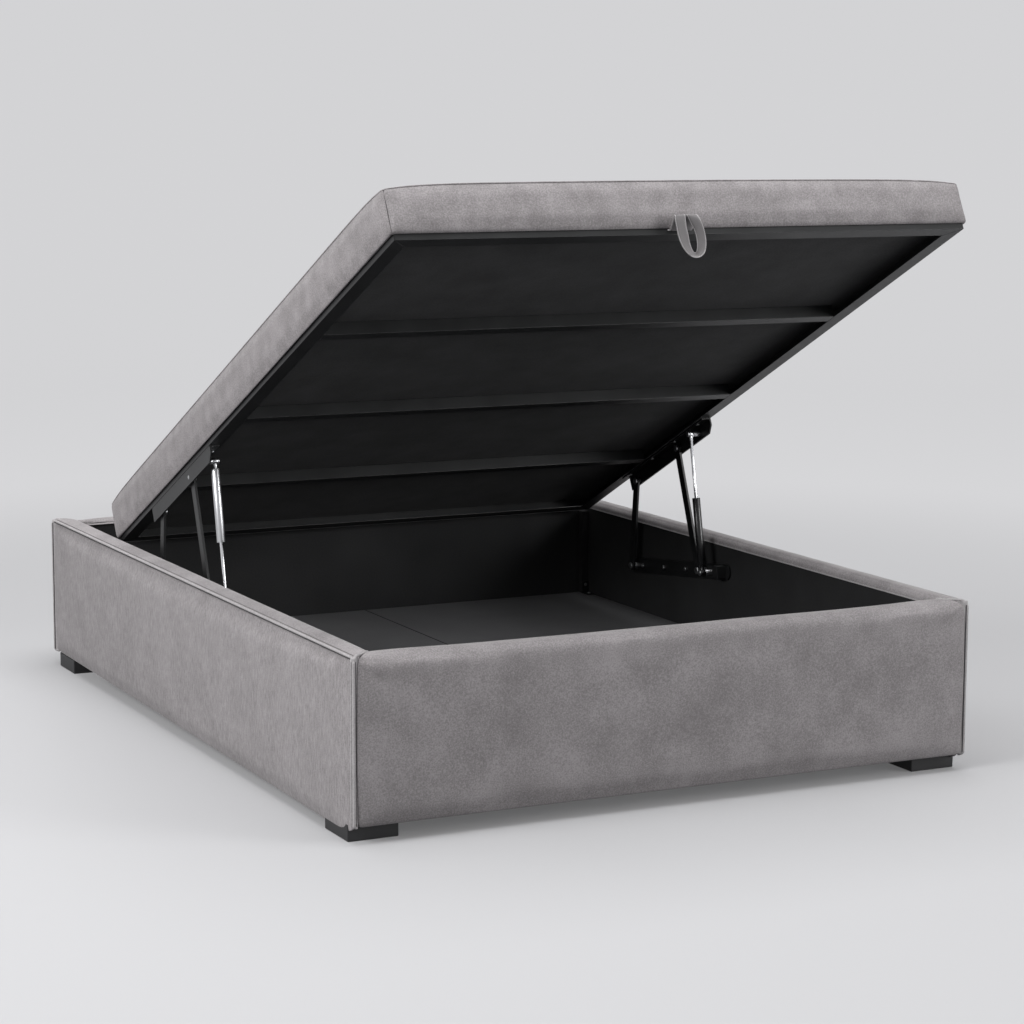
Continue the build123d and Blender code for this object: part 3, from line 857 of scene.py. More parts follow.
@dataclass
class RailPad:
    """A padded cover swept along a rail, from seam to seam."""

    outline: list[Point]
    backing: list[Point]
    end_at: Callable[[float], float]
    place: Callable[[float, float, float], Place]
    end_round: float = 8.0
    end_run: float = 8.0
    pitch: float = 14.0
    swell_height: float = 0.7
    sag: float = 0.0
    sag_reach: float = 110.0
    sag_fade: float = 14.0
    rear_share: float = 1.0
    seed: float = 1.0
    unevenness: float = 210.0
    held_rows: int = 3

    def normals(self) -> list[Point]:
        """Outward direction at each point of the outline."""
        result = []
        for i in range(len(self.outline)):
            before = self.outline[max(i - 1, 0)]
            after = self.outline[min(i + 1, len(self.outline) - 1)]
            along, up = after[0] - before[0], after[1] - before[1]
            size = math.hypot(along, up)
            result.append((up / size, -along / size))
        return result

    def build(self, name: str, material: bpy.types.Material, worker: PadWorker) -> bpy.types.Object:
        """Make the pad, fill it and smooth it.

        Args:
            name: Name of the piece.
            material: Its velvet.
            worker: Cloth simulation that fills it.

        Returns:
            The piece.
        """
        outward = self.normals()
        count = len(self.outline)
        ring = self.outline + self.backing
        half = max(self.end_at(p[0]) for p in ring)
        places = eased(half, self.pitch, max(2.5 * self.end_round, 1.2 * self.end_run))
        low = min(up for _, up in ring)
        points: list[Place] = []
        held: list[int] = []
        for number, t in enumerate(places):
            gap = half - abs(t)
            depth = 0.0
            if gap < self.end_run:
                depth = self.end_round * (1 - math.sqrt(max(1 - (1 - gap / self.end_run) ** 2, 0)))
                depth *= self.rear_share if t > 0 else 1.0
            drop = self.sag * (half - t) / (2 * half) * (1 - math.exp(-gap / self.sag_fade))
            for i, (out, up) in enumerate(ring):
                if i < count:
                    direction = outward[i]
                    taper = min(1.0, i / 3, (count - 1 - i) / 3)
                    uneven = swell((out, t, up), self.unevenness, self.swell_height, self.seed)
                    raised = uneven * taper - depth
                    out, up = out + direction[0] * raised, up + direction[1] * raised
                up -= drop * max(0.0, 1 - (ring[i][1] - low) / self.sag_reach)
                reach = self.end_at(ring[i][0])
                points.append(self.place(out, up, t * reach / half))
                at_end = min(number, len(places) - 1 - number) < self.held_rows
                if i >= count - 1 or i < 2 or at_end:
                    held.append(len(points) - 1)
        size = len(ring)
        faces = net_faces(size, len(points))
        faces.append(tuple(range(size))[::-1])
        faces.append(tuple(range(len(points) - size, len(points))))
        pad = make_piece(name, points, faces, material)
        face_outwards(pad)
        worker.fill(pad, held)
        subdivide(pad)
        LOG.info("%s: %d points", name, len(pad.data.vertices))
        return pad


@dataclass
class BaseBox:
    """Rails of the base: padded covers, facings, piping, linings, floor and feet."""

    finishes: Finishes
    welt: Recipe
    stitch: Recipe
    half_width: float = 745.0
    half_length: float = 1012.0
    bottom: float = 36.0
    top: float = 389.0
    inner_x: float = 685.0
    inner_y: float = 954.0
    side_pad: float = 14.0
    end_pad: float = 20.0
    crown: float = 3.0
    cover_top: float = 10.0
    lining_top: float = 373.0
    sheet: float = 4.0
    roll: float = 10.0
    cord: float = 2.9
    cord_inset: float = 5.5
    cord_drop: float = 4.4
    corner_cord: Point = (745.0, 1003.4)
    mitre_cord: Point = (741.6, 1009.0)
    mitre_inset: float = 7.6
    mitre_gap: float = 2.2
    floor_top: float = 136.0
    floor_seam_x: float = 19.0
    partition_y: float = 700.0

    def face_crown(self, reach: float, low: float, high: float) -> list[Point]:
        """Upright face of a pad, bowed outwards between two heights."""
        middle, half = (self.top + self.bottom) / 2, (self.top - self.bottom) / 2
        return [(reach - self.crown * ((z - middle) / half) ** 2, z) for z in evenly(low, high, 11)]

    @property
    def mitre_slope(self) -> float:
        """Steps along the bed for each step across it, on the mitre's line."""
        return (self.half_length - self.inner_y) / (self.half_width - self.mitre_inset - self.inner_x)

    def mitre(self, reach: float) -> float:
        """Half length of a side facing at a distance across the bed."""
        seam = self.inner_y + (reach - self.inner_x) * self.mitre_slope
        return min(seam, self.half_length - 4) - self.mitre_gap

    def turn_down(self, inner: float) -> list[Point]:
        """Part of a cover that rolls over the rail's inner edge and ends inside the box."""
        rolled = arc((inner + self.roll, self.top - self.roll), self.roll, 90, 180, 5)
        return rolled + [(inner, z) for z in evenly(self.top - self.roll - 2, self.lining_top, 8)]

    def board_side(self, inner: float, first: float, board: float) -> list[Point]:
        """Underside of a cover, from its end inside the box over the rail's top to the board's face."""
        level = self.top - self.cover_top
        points = [(inner + self.sheet, self.lining_top + 0.5), (inner + self.sheet, level - 1)]
        return points + [(out, level) for out in evenly(inner + first, board, 9)]

    def end_pads(self) -> None:
        """Make the padded foot and head panels, which roll over the rails' tops."""
        f, reach, board = self.finishes, self.half_length, self.half_length - self.end_pad
        outline = [(board + 3, self.bottom + 0.6), (reach - 9, self.bottom + 0.3)]
        outline += [(reach - 5.4, self.bottom + 1.6)]
        outline += self.face_crown(reach, self.bottom + 7, self.top - 30)
        outline += arc((reach - self.crown - 24, self.top - 24), 24, 8, 90, 7)
        outline += [(y, self.top + 0.8) for y in evenly(reach - 36, self.inner_y + self.roll + 4, 9)]
        outline += self.turn_down(self.inner_y)
        backing = self.board_side(self.inner_y, 10, board)
        backing += [(board, z) for z in evenly(self.top - self.cover_top - 8, self.bottom + 4, 16)]
        for end in End:
            pad = RailPad(
                outline, backing,
                end_at=lambda y: self.inner_x + (y - self.inner_y) / self.mitre_slope - 1.0,
                place=lambda y, z, t, e=end.value: (t, e * y, z),
                end_round=4.0, end_run=7.0, seed=3.0 + end.value,
            )
            piece = pad.build(f"{end.word}_pad", f.velvet, PadWorker(cap=4.5))
            give(piece, "base", f"{end.word}_cover")

    def side_pads(self) -> None:
        """Make each side rail's outer pad and its mitred top facing."""
        f, reach, board = self.finishes, self.half_width, self.half_width - self.side_pad
        outline = [(board + 2, self.bottom + 0.6), (reach - 7, self.bottom + 0.3)]
        outline += [(reach - 4.6, self.bottom + 1.6)]
        outline += self.face_crown(reach, self.bottom + 7, self.top - 26)
        outline += arc((reach - self.crown - 14, self.top - 23), 14, 6, 80, 5)
        backing = [(board - 0.5, self.top - 12), (board, self.top - 16)]
        backing += [(board, z) for z in evenly(self.top - 26, self.bottom + 4, 16)]
        facing = [(reach - 8, self.top - 6), (reach - 9, self.top - 1.6), (board, self.top + 0.2)]
        facing += [
            (x, self.top + 0.6 + 2.4 * math.sin(math.pi * (board - x) / (board - self.inner_x)))
            for x in evenly(board - 5, self.inner_x + self.roll + 3, 8)
        ]
        facing += self.turn_down(self.inner_x)
        under = self.board_side(self.inner_x, 9, board)
        for side in Side:
            place = lambda x, z, t, s=side.value: (s * x, t, z)
            pad = RailPad(
                outline, backing,
                end_at=lambda x: self.half_length - 12.5, place=place,
                end_round=9.0, end_run=80.0, rear_share=0.3,
                seed=11.0 + side.value, swell_height=1.0, sag=19.0,
            )
            piece = pad.build(f"side_pad_{side.word}", f.side_velvet, PadWorker(cap=4.0))
            strip = RailPad(
                facing, under, end_at=self.mitre, place=place, end_round=2.5, end_run=2.5, swell_height=0.3
            )
            top = strip.build(f"side_facing_{side.word}", f.velvet, PadWorker(cap=1.2))
            give(piece, "base", f"side_cover_{side.word}")
            give(top, "base")

    def piping(self) -> None:
        """Make the piping: along each side's top, along the mitres and down the corners, with dark lines of
        painted shade in the creases beside the cords.
        """
        f, high, low = self.finishes, self.top - self.cord_drop, self.bottom + 1
        top_x = self.half_width - self.cord_inset
        edge_x, corner_y = self.corner_cord
        seam_x, front = self.mitre_cord
        rise = [
            (edge_x - 9, corner_y - 9, low - 0.5), (edge_x, corner_y, low + 2.5),
            (edge_x, corner_y, high - 5), (top_x, corner_y - 7, high),
        ]
        mitre = [
            (self.inner_x + 2, self.inner_y + 2.5, high - 8),
            (self.inner_x + 6, self.inner_y + 6.8, high + 2.6),
            (seam_x - 7, front - 7, high + 4.0), (seam_x, front, high - 8),
            (seam_x, front, low + 2.5), (seam_x - 9, front - 9, low - 0.5),
        ]
        # dark holds lines of dark thread in the creases beside the cords: painted shade where the crease lies
        # in shadow
        dark: list[list[Place]] = []
        pale: list[list[Place]] = []
        for side in Side:
            s = side.value
            line = [(s * x, -y, z) for x, y, z in rise] + [(s * x, y, z) for x, y, z in reversed(rise)]
            runs = [rounded_path(line, 11)]
            dark.append([(s * (top_x + 2.4), e * (corner_y - 9), high - 3.2) for e in (-1, 1)])
            pale.append([(s * (top_x - 4.2), e * (corner_y - 12), self.top - 0.9) for e in (-1, 1)])
            for end in End:
                e = end.value
                runs.append(rounded_path([(s * x, e * y, z) for x, y, z in mitre], 9))
                dark.append([(s * (seam_x - 3.6), e * (front + 0.6), z) for z in (low + 5, high - 6)])
                dark.append([(s * (edge_x + 0.5), e * (corner_y - 3.9), z) for z in (low + 5, high - 6)])
            cord = path_piece(f"rail_piping_{side.word}_cord", runs)
            piece = self.welt.run(cord, f.piping, Radius=self.cord)
            give(piece, "base", f"rail_piping_{side.word}")
        for name, lines, material, radius in (
            ("rail_piping_seams", dark, f.thread, 1.2), ("side_facing_seams", pale, f.grey_thread, 0.7),
        ):
            give(self.welt.run(path_piece(name, lines), material, Radius=radius), "base")

    def corner_strips(self) -> None:
        """Make the velvet strip that stands behind the two cords at each corner."""
        outer, inner = self.corner_cord, self.mitre_cord
        plan = [(726.0, 998.5), (744.2, 998.5), (outer[0] + 1.2, outer[1] - 1)]
        plan += [(outer[0] + 1.0, outer[1] + 0.6), (inner[0] + 1.0, inner[1] + 0.6)]
        plan += [(inner[0] - 1.6, inner[1] + 1.6), (737.5, 1010.2), (722.0, 993.4)]
        middle = (740.0, 1003.5)
        levels = [(self.bottom + rise, scale) for rise, scale in ((0.5, 0.55), (2, 0.8), (5.5, 0.96), (9, 1))]
        levels += [(z, 1.0) for z in evenly(self.bottom + 20, self.top - 14, 60)]
        levels += [(self.top - 6, 0.98), (self.top - 3.6, 0.92), (self.top - 2.4, 0.8)]
        points: list[Place] = []
        faces: list[Face] = []
        size = len(plan)
        for side in Side:
            for end in End:
                first = len(points)
                for z, scale in levels:
                    points += [
                        (
                            side.value * (middle[0] + (x - middle[0]) * scale),
                            end.value * (middle[1] + (y - middle[1]) * scale), z,
                        )
                        for x, y in plan
                    ]
                faces += net_faces(size, len(points), first)
                faces.append(tuple(range(first, first + size)))
                faces.append(tuple(range(len(points) - size, len(points))))
        # The strip shares the cords' paler velvet, so it carries the same painted highlight
        strip = make_piece("corner_strips", points, faces, self.finishes.piping)
        face_outwards(strip)
        give(strip, "base")

    def hem(self) -> None:
        """Make the hem of the turned-down covers and the stitches that hold it to the linings."""
        x, y, f = self.inner_x - 0.3, self.inner_y - 0.3, self.finishes
        for name, recipe, material, level, sizes in (
            ("lining_hem", self.welt, f.piping, 0.8, {"Radius": 1.1}),
            ("lining_stitches", self.stitch, f.pale_thread, 2.8, {"Pitch": 7.0, "Length": 5.2}),
        ):
            level += self.lining_top
            runs = [[(s.value * x, -y, level), (s.value * x, y, level)] for s in Side]
            runs += [[(-x, -y, level), (x, -y, level)]]
            give(recipe.run(path_piece(name, runs), material, **sizes), "base")

    def floor_seam(self) -> None:
        """Make the dark line where the two floor panels meet: painted shade, a black felt cord laid in the
        joint where its shadow falls.
        """
        ends = (-self.inner_y + 1, self.partition_y - 1)
        line = path_piece("floor_seam", [[(self.floor_seam_x, y, self.floor_top - 0.5) for y in ends]])
        give(self.welt.run(line, self.finishes.felt, Radius=1.6), "base")

    def dress(self) -> None:
        """Give the boards, linings, floor and feet their finishes."""
        f = self.finishes
        boards = ("side_board_left", "side_board_right", "foot_board")
        paint((*boards, "floor_ledges", "centre_bearer", "centre_leg"), f.board)
        paint(("side_lining_left", "side_lining_right", "foot_lining", "head_board"), f.felt)
        paint(("rear_partition",), f.panel_felt)
        for side in Side:
            bevelled_copy(f"corner_post_{side.word}", f.felt, 1.5, "base")
            bevelled_copy(f"floor_panel_{side.word}", f.floor_felt, 1.5, "base")
            for place in ("front", "rear"):
                bevelled_copy(f"foot_{place}_{side.word}", f.plastic, 1.5, "base")
        bevelled_copy("post_brackets", f.steel, 0.6, "base")
        bevelled_copy("base_screws", f.zinc, 0.5, "base", level=False)


# Lid


@dataclass
class Lid:
    """The padded lid with its border, seams, steel frame and underside cloth."""

    finishes: Finishes
    welt: Recipe
    place: LidPlace
    half: float = 681.0
    length: float = 1927.0
    height: float = 110.0
    corner: float = 12.0
    seam_h: float = 104.5
    seam_inset: float = 3.3
    slump: float = 12.0
    slump_run: float = 60.0
    crest_x: float = -120.0
    bow: float = 5.5
    bow_run: float = 800.0
    rear_fall: float = 3.0
    border_soft: float = 60.0
    end_bulge: float = 4.5
    side_tuck: float = 2.5
    recess_h: float = 30.0
    frame_inset: float = 10.0
    frame_half: float = 671.0
    frame_wall: float = 3.4
    deck_h: float = 18.0
    corner_steps: int = 5
    least_corner: float = 8.0
    wide_spans: int = 62
    long_spans: int = 88

    @property
    def sides(self) -> tuple[int, int]:
        """Spans of a ring between two corners, across the bed and along it."""
        return self.wide_spans + 2 * self.corner_steps, self.long_spans + 2 * self.corner_steps

    def ring(self, inset: float, h: float, groove: float = 0.0) -> list[Place]:
        """Rounded ring of the lid at one height, always with the same number of points.

        Args:
            inset: Distance in from the lid's outline.
            h: Height along the lid's normal.
            groove: Depth of the upright corner seam.

        Returns:
            Points in the bed's own directions, from the middle of the left front corner round.
        """
        radius = max(self.corner - inset, self.least_corner)
        half_x, half_s = self.half - inset - radius, self.length / 2 - inset - radius
        corners = ((-1, -1, 180), (1, -1, 270), (1, 1, 0), (-1, 1, 90))
        steps = self.corner_steps
        points: list[Point] = []
        for number, (cx, cs, start) in enumerate(corners):
            nx, ns, nstart = corners[(number + 1) % 4]
            leave = arc((cx * half_x, cs * half_s), radius, start + 45, start + 90, steps)
            arrive = arc((nx * half_x, ns * half_s), radius, nstart, nstart + 45, steps)
            middle = (cx * half_x, cs * half_s)
            leave[0] = tuple(m + (v - m) * (1 - groove / radius) for v, m in zip(leave[0], middle))
            spans = self.long_spans if number % 2 else self.wide_spans
            first, last = leave[-1], arrive[0]
            points += leave[:-1]
            points += [
                (first[0] + (last[0] - first[0]) * i / spans, first[1] + (last[1] - first[1]) * i / spans)
                for i in range(spans)
            ]
            points += arrive[:-1]
        middle = self.length / 2
        return [self.place.at(x, middle + s, self.settled(x, middle + s, h, inset)) for x, s in points]

    def settled(self, x: float, s: float, h: float, inset: float) -> float:
        """Height of a point once the padding has settled: low at the corners, full between them.

        Args:
            x: Distance across the bed.
            s: Distance from the front edge.
            h: Height of the point on an even pad.
            inset: Distance in from the lid's outline.

        Returns:
            Its height on the settled pad.
        """
        end_gap = min(s, self.length - s)
        gap = math.hypot(self.half - abs(x), end_gap)
        crest = 0.3 - self.bow * ((x - self.crest_x) / self.bow_run) ** 2 - self.rear_fall * s / self.length
        crest -= self.slump * math.exp(-gap / self.slump_run)
        height = h + crest * (h / self.height) ** 1.5
        if inset < 6 and h < self.border_soft:
            across, along = 1 - (x / self.half) ** 2, math.sin(math.pi * max(s, 0) / self.length)
            lift = self.end_bulge * across if end_gap < 14 else -self.side_tuck * along
            height += lift * (1 - h / self.border_soft)
        return height

    def fill_ring(self, points: list[Place], first: int, flip: bool) -> list[Face]:
        """Close a ring with an even net of faces.

        Args:
            points: Points made so far; the net's own are added.
            first: Number of the ring's first point.
            flip: Whether the faces look the other way.

        Returns:
            The net's faces.
        """
        wide, long = self.sides
        count = 2 * (wide + long)
        edge = [Vector(p) for p in points[first : first + count]]
        net: dict[Point, int] = {}
        for i in range(wide + 1):
            net[i, 0] = first + i
            net[i, long] = first + 2 * wide + long - i
        for j in range(long + 1):
            net[wide, j] = first + wide + j
            net[0, j] = first + (count - j) % count
        place = {key: edge[number - first] for key, number in net.items()}
        for i in range(1, wide):
            u = i / wide
            for j in range(1, long):
                v = j / long
                spot = (1 - v) * place[i, 0] + v * place[i, long]
                spot += (1 - u) * place[0, j] + u * place[wide, j]
                spot -= (1 - u) * ((1 - v) * place[0, 0] + v * place[0, long])
                spot -= u * ((1 - v) * place[wide, 0] + v * place[wide, long])
                net[i, j] = len(points)
                points.append(tuple(spot))
        faces = []
        for i in range(wide):
            for j in range(long):
                face = (net[i, j], net[i + 1, j], net[i + 1, j + 1], net[i, j + 1])
                faces.append(face[::-1] if flip else face)
        return faces

    def cushion(self) -> None:
        """Make the padded body: border, rolled bottom edge, top panel and deck recess."""
        steps = [(self.frame_inset - 0.2, self.recess_h + 0.5, 0), (self.frame_inset - 0.3, 12, 0)]
        steps += [(self.frame_inset - 0.4, 2, 0), (8, 0.2, 0), (5, 0.2, 0.4), (2.4, 1.6, 0.8), (0.9, 5, 1.4)]
        steps += [(0.3, h, 1.8) for h in evenly(11, 94, 8)]
        steps += [(0.8, 99, 1.8), (1.7, 102.2, 1.4), (4.0, self.seam_h, 0.4), (4.9, 106.8, 0.2)]
        steps += [(8.5, 108.7, 0), (14, 109.5, 0), (21, 109.8, 0), (32, 110, 0), (48, 110, 0), (68, 110, 0)]
        steps += [(92, 110, 0)]
        points: list[Place] = []
        held: list[int] = []
        size = len(self.ring(0, 0))
        for number, (inset, h, groove) in enumerate(steps):
            if number < 5 or inset > 30 or h == self.seam_h:
                held.extend(range(len(points), len(points) + size))
            points.extend(self.ring(inset, h, groove))
        faces = net_faces(size, len(points))
        rings = len(points)
        faces += self.fill_ring(points, rings - size, False)
        faces += self.fill_ring(points, 0, True)
        held.extend(range(rings, len(points)))
        pad = make_piece("lid_pad", points, faces, self.finishes.lid_velvet)
        PadWorker(cap=4.0).fill(pad, held)
        subdivide(pad)
        give(pad, "lid", "lid_cushion")
        LOG.info("lid_pad: %d points", len(pad.data.vertices))

    def seams(self) -> None:
        """Make the cord round the top seam and a dark thread down each corner's groove, which is painted
        shade in the groove.
        """
        cord = path_piece("lid_top_seam", [self.ring(self.seam_inset, self.seam_h)], closed=True)
        self.welt.run(cord, self.finishes.lid_velvet, Radius=1.7)
        give(cord, "lid", "lid_piping")
        wide, long = self.sides
        rings = [self.ring(0.6 if h > 5 else 2.4, h, 1.6) for h in evenly(2, self.seam_h, 4)]
        runs = [[ring[corner] for ring in rings] for corner in (0, wide, wide + long, 2 * wide + long)]
        thread = self.welt.run(path_piece("lid_corner_seam_shade", runs), self.finishes.thread, Radius=0.7)
        give(thread, "lid")

    def underside(self) -> None:
        """Make the black cloth stretched under the deck, slack by a millimetre or so."""
        edge = self.frame_inset + self.frame_wall
        half, first, last = self.frame_half - self.frame_wall, edge, self.length - edge
        columns, rows = evenly(-half, half, 22), evenly(first, last, 22)
        points: list[Place] = []
        for s in rows:
            for x in columns:
                free = min(min(half - abs(x), s - first, last - s) / 60, 1.0)
                slack = free * (0.5 + 0.9 * noise.noise(Vector((x / 260, s / 190, 4.0))))
                points.append(self.place.at(x, s, self.deck_h - 0.7 - max(slack, 0)))
        faces = net_faces(len(columns), len(points), closed=False, flip=True)
        cloth = make_piece("underside_cloth", points, faces, self.finishes.lid_felt)
        give(cloth, "lid", "underside_lining")

    def steel(self) -> None:
        """Give the frame, cross bars and their screws broken edges and a coating."""
        f = self.finishes
        for part in ("front", "rear", "left", "right"):
            bevelled_copy(f"frame_{part}", f.steel, 0.9, "lid")
        for number in (1, 2, 3):
            bevelled_copy(f"cross_bar_{number}", f.steel, 0.9, "lid")
        bevelled_copy("frame_screws", f.zinc, 0.6, "lid", level=False)
        paint(("deck_board",), f.board)


# Lift mechanism


@dataclass
class LiftMechanism:
    """Rails, plates, links, bolts and gas struts."""

    finishes: Finishes

    def dress(self) -> None:
        """Give every part broken edges and its finish."""
        f = self.finishes
        plates = [
            ("upper_rail_left", "lid", 0.9), ("upper_rail_right", "lid", 0.9),
            ("lower_plate_left", "base", 1.0), ("lower_plate_right", "base", 1.0),
            ("plate_end_blocks", "base", 1.0),
            ("front_link_left", "front_links", 1.0), ("front_link_right", "front_links", 1.0),
            ("rear_link_left", "rear_links", 1.0), ("rear_link_right", "rear_links", 1.0),
        ]
        bolts = [
            ("front_link_bolts", "front_links"), ("rear_link_bolts", "rear_links"), ("plate_bolts", "base"),
            ("strut_lower_studs", "base"), ("strut_upper_studs", "strut_upper"),
        ]
        struts = [
            ("strut_barrel_left", "strut_upper", f.zinc, 0.8, "strut_silver"),
            ("strut_rod_right", "strut_upper", f.chrome, 0.5, "strut_silver"),
            ("strut_rod_left", "strut_lower", f.chrome, 0.5, "strut_dark"),
            ("strut_barrel_right", "strut_lower", f.barrel, 0.8, "strut_dark"),
        ]
        for node, body, width in plates:
            bevelled_copy(node, f.steel, width, body)
        for node, body in bolts:
            bevelled_copy(node, f.zinc, 0.7, body, level=False)
        for node, body, material, width, slot in struts:
            bevelled_copy(node, material, width, body, level=False)


# Pull loop


@dataclass
class PullLoop:
    """Webbing strap that comes out under the lid's edge, folds over and hangs in a twisted U."""

    finishes: Finishes
    welt: Recipe
    root: Place = (-34.0, -1052.476, 1224.109)
    width: float = 25.0
    thickness: float = 1.8
    reach: float = 30.0

    def stations(self) -> list[tuple[Place, Place]]:
        """Both edges of the strap at each station, from one end to the other.

        Returns:
            Pairs of places from the root, outer edge first.
        """
        front = -self.reach
        tail = ((0.0, 0.0), (-8.0, 0.3), (-15.0, 10.0), (-24.0, 26.0), (-28.0, 31.0))
        face = (
            ((-28.0, 22.0), (-3.0, 20.0), 0), ((-24.5, 8.0), (-0.5, 7.0), 0),
            ((-20.5, -10.0), (4.0, -8.5), 1),
            ((-14.5, -27.0), (8.5, -23.0), 6), ((-5.0, -42.0), (14.5, -36.0), 11),
            ((9.0, -53.0), (21.0, -44.5), 15), ((25.0, -54.5), (27.0, -45.5), 17),
            ((38.0, -46.0), (29.0, -39.5), 15), ((42.5, -30.0), (28.5, -27.0), 13),
            ((41.0, -12.0), (26.0, -13.5), 13), ((36.5, 5.0), (20.5, 1.0), 12),
            ((31.5, 18.0), (12.0, 13.5), 10), ((27.5, 26.0), (4.0, 25.0), 5),
        )
        left = [((-28.0, y, z), (-3.0, y, z)) for y, z in tail]
        right = [((24.5, y, z), (-0.5, y, z)) for y, z in reversed(tail)]
        hang = [((a[0], front - d / 2, a[1]), (b[0], front + d / 2, b[1])) for a, b, d in face]
        return left + hang + right

    def smooth(self, points: list[Vector], steps: int) -> list[Vector]:
        """Smooth line through points.

        Args:
            points: Points to pass through.
            steps: Spans between two points.

        Returns:
            Points of the line.
        """
        line = []
        for i in range(len(points) - 1):
            p0, p1 = points[max(i - 1, 0)], points[i]
            p2, p3 = points[i + 1], points[min(i + 2, len(points) - 1)]
            for k in range(steps):
                t = k / steps
                spot = (2 * p1) + (p2 - p0) * t + (2 * p0 - 5 * p1 + 4 * p2 - p3) * t**2
                line.append(0.5 * (spot + (3 * p1 - p0 - 3 * p2 + p3) * t**3))
        line.append(points[-1])
        return line

    def build(self) -> None:
        """Make the strap and a pale cord along both its edges."""
        base, steps, columns, edge = Vector(self.root), 6, 5, 0.05
        lines = ([Vector(p) + base for p in line] for line in zip(*self.stations()))
        outer, inner = (self.smooth(line, steps) for line in lines)
        points: list[Place] = []
        for a, b in zip(outer, inner):
            points.extend(tuple(a.lerp(b, k / (columns - 1))) for k in range(columns))
        faces = net_faces(columns, len(points), closed=False)
        strap = make_piece("pull_loop_strap", points, faces, self.finishes.webbing)
        layer = strap.data.uv_layers.new(name="UVMap")
        along = [0.0]
        for k in range(1, len(outer)):
            step = ((outer[k] + inner[k]) - (outer[k - 1] + inner[k - 1])).length / 2
            along.append(along[-1] + step)
        for loop in strap.data.loops:
            row, column = divmod(loop.vertex_index, columns)
            layer.data[loop.index].uv = (column / (columns - 1) * self.width * MM, along[row] * MM)
        modify(strap, "SOLIDIFY", thickness=self.thickness * MM, offset=0.0)
        runs = [[tuple(p.lerp(q, share)) for p, q in zip(outer, inner)] for share in (edge, 1 - edge)]
        edges = self.welt.run(path_piece("pull_loop_edges", runs), self.finishes.pale_thread, Radius=1.1)
        give(strap, "pull_loop", "pull_loop")
        give(edges, "pull_loop")


# Studio


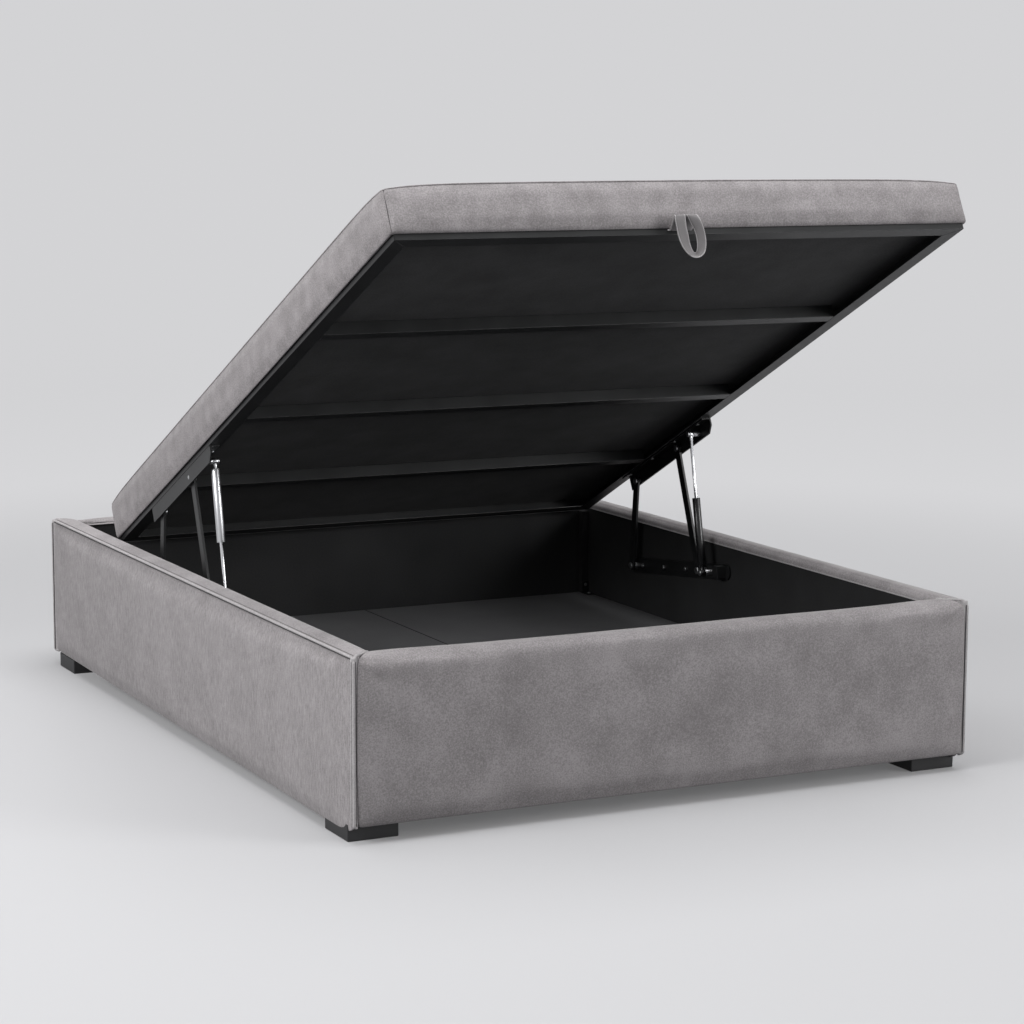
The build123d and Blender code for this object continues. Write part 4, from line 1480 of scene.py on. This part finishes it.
@dataclass
class Studio:
    """Pale sweep, soft lamps and the camera."""

    backdrop: str = "dddddf"
    paper: str = "c0c0c2"
    bounce: str = "6e6e70"
    near: float = 1.6
    far: float = 4.5
    near_share: float = 0.85
    far_share: float = 0.15
    air: float = 0.42
    eye: Place = (-2.8351, -5.9249, 1.4778)
    yaw: float = 0.4613
    pitch: float = -0.1482
    roll: float = 0.004
    lens: float = 96.19
    lamps: tuple = (
        ("Key lamp", (-6.5, -1.5, 3.6), (0, 0, 0.6), 3.5, 410.0),
        ("Top lamp", (0.0, -0.5, 6.0), (0, 0, 0.3), 4.5, 270.0),
        ("Front lamp", (5.0, -5.8, 2.4), (0.3, -0.5, 0.4), 3.0, 265.0),
    )

    def camera(self) -> None:
        """Place the camera at the viewing angle, 6.6 m from the bed."""
        flat = math.cos(self.pitch)
        ahead = Vector((math.sin(self.yaw) * flat, math.cos(self.yaw) * flat, math.sin(self.pitch)))
        level = Vector((math.cos(self.yaw), -math.sin(self.yaw), 0))
        up = level.cross(ahead)
        right = math.cos(self.roll) * level + math.sin(self.roll) * up
        top = -math.sin(self.roll) * level + math.cos(self.roll) * up
        data = bpy.data.cameras.new("Camera")
        data.lens = self.lens
        data.sensor_width = 36.0
        data.clip_end = 100.0
        camera = place_object("Camera", data)
        turn = Matrix((right, top, -ahead)).transposed().to_4x4()
        camera.matrix_world = Matrix.Translation(self.eye) @ turn
        bpy.context.scene.camera = camera

    def sweep(self) -> None:
        """Make the pale floor that curves up behind the object on all sides."""
        curve, start, wall, count = 3000, 8000, 9000, 64
        rings = [(2000, 0), (5000, 0), (7000, 0)]
        bends = [math.radians(10 * k) for k in range(10)]
        rings += [(start + curve * math.sin(a), curve * (1 - math.cos(a))) for a in bends]
        rings += [(start + curve, wall)]
        turns = [2 * math.pi * i / count for i in range(count)]
        points: list[Place] = [(0.0, 0.0, 0.0)]
        for radius, z in rings:
            points += [(radius * math.cos(a), radius * math.sin(a), z) for a in turns]
        faces: list[Face] = [(0, 1 + i, 1 + (i + 1) % count) for i in range(count)]
        faces += net_faces(count, len(points), 1, flip=True)
        paper = Surface("Pale studio paper")
        ray = add_node(paper.tree, "ShaderNodeLightPath")
        mirrored = {0: ray.outputs["Is Camera Ray"], 1: ray.outputs["Is Glossy Ray"]}
        seen = paper.step("ShaderNodeMath", mirrored, operation="ADD")
        through = {0: seen, 1: ray.outputs["Is Transmission Ray"]}
        seen = paper.step("ShaderNodeMath", through, operation="ADD", use_clamp=True)
        glow = paper.step("ShaderNodeEmission", {"Color": linear(self.backdrop), "Strength": 1.0})
        matt = paper.step("ShaderNodeBsdfDiffuse", {"Color": linear(self.paper)})
        reach = paper.step("ShaderNodeVectorMath", {0: paper.place}, "Value", operation="LENGTH")
        fade = {
            "Value": reach, "From Min": self.near, "From Max": self.far,
            "To Min": self.near_share, "To Max": self.far_share,
        }
        share = paper.step("ShaderNodeMapRange", fade, interpolation_type="SMOOTHSTEP")
        shown = paper.step("ShaderNodeMixShader", {0: share, 1: glow, 2: matt})
        bounce = paper.step("ShaderNodeBsdfDiffuse", {"Color": linear(self.bounce)})
        both = paper.step("ShaderNodeMixShader", {0: seen, 1: bounce, 2: shown})
        floor = make_piece("studio_floor", points, faces, paper.close(both))

    def lamp(self, name: str, place: Place, aim: Place, size: float, power: float) -> None:
        """Hang one soft square lamp.

        Args:
            name: Its name.
            place: Where it hangs, in metres.
            aim: What it points at, in metres.
            size: Its side in metres.
            power: Its power in watts.
        """
        data = bpy.data.lights.new(name, "AREA")
        data.size = size
        data.energy = power
        lamp = place_object(name, data)
        lamp.location = place
        lamp.rotation_euler = (Vector(aim) - Vector(place)).to_track_quat("-Z", "Y").to_euler()

    def light(self) -> None:
        """Light the room: an even pale world and soft lamps on the left, above and in front."""
        world = bpy.data.worlds.new("Studio air")
        tree = empty_tree(world)
        air = add_node(tree, "ShaderNodeBackground", {"Color": linear("fafafb"), "Strength": self.air})
        add_node(tree, "ShaderNodeOutputWorld", {"Surface": air.outputs[0]})
        bpy.context.scene.world = world
        for name, place, aim, size, power in self.lamps:
            self.lamp(name, place, aim, size, power)
        bpy.context.scene.view_settings.view_transform = "Standard"


def main() -> None:
    """Build every sub-assembly in order and report it."""
    logging.basicConfig(level=logging.INFO, format="%(message)s")
    place = LidPlace()
    finishes = Finishes(place.tilt)
    welt, stitch = welt_recipe(), stitch_recipe()
    base = BaseBox(finishes, welt, stitch)
    base.end_pads()
    base.side_pads()
    base.piping()
    base.corner_strips()
    base.hem()
    base.floor_seam()
    base.dress()
    lid = Lid(finishes, welt, place)
    lid.cushion()
    lid.seams()
    lid.underside()
    lid.steel()
    LiftMechanism(finishes).dress()
    PullLoop(finishes, welt).build()
    studio = Studio()
    studio.camera()
    studio.sweep()
    studio.light()


if __name__ == "__main__":
    main()
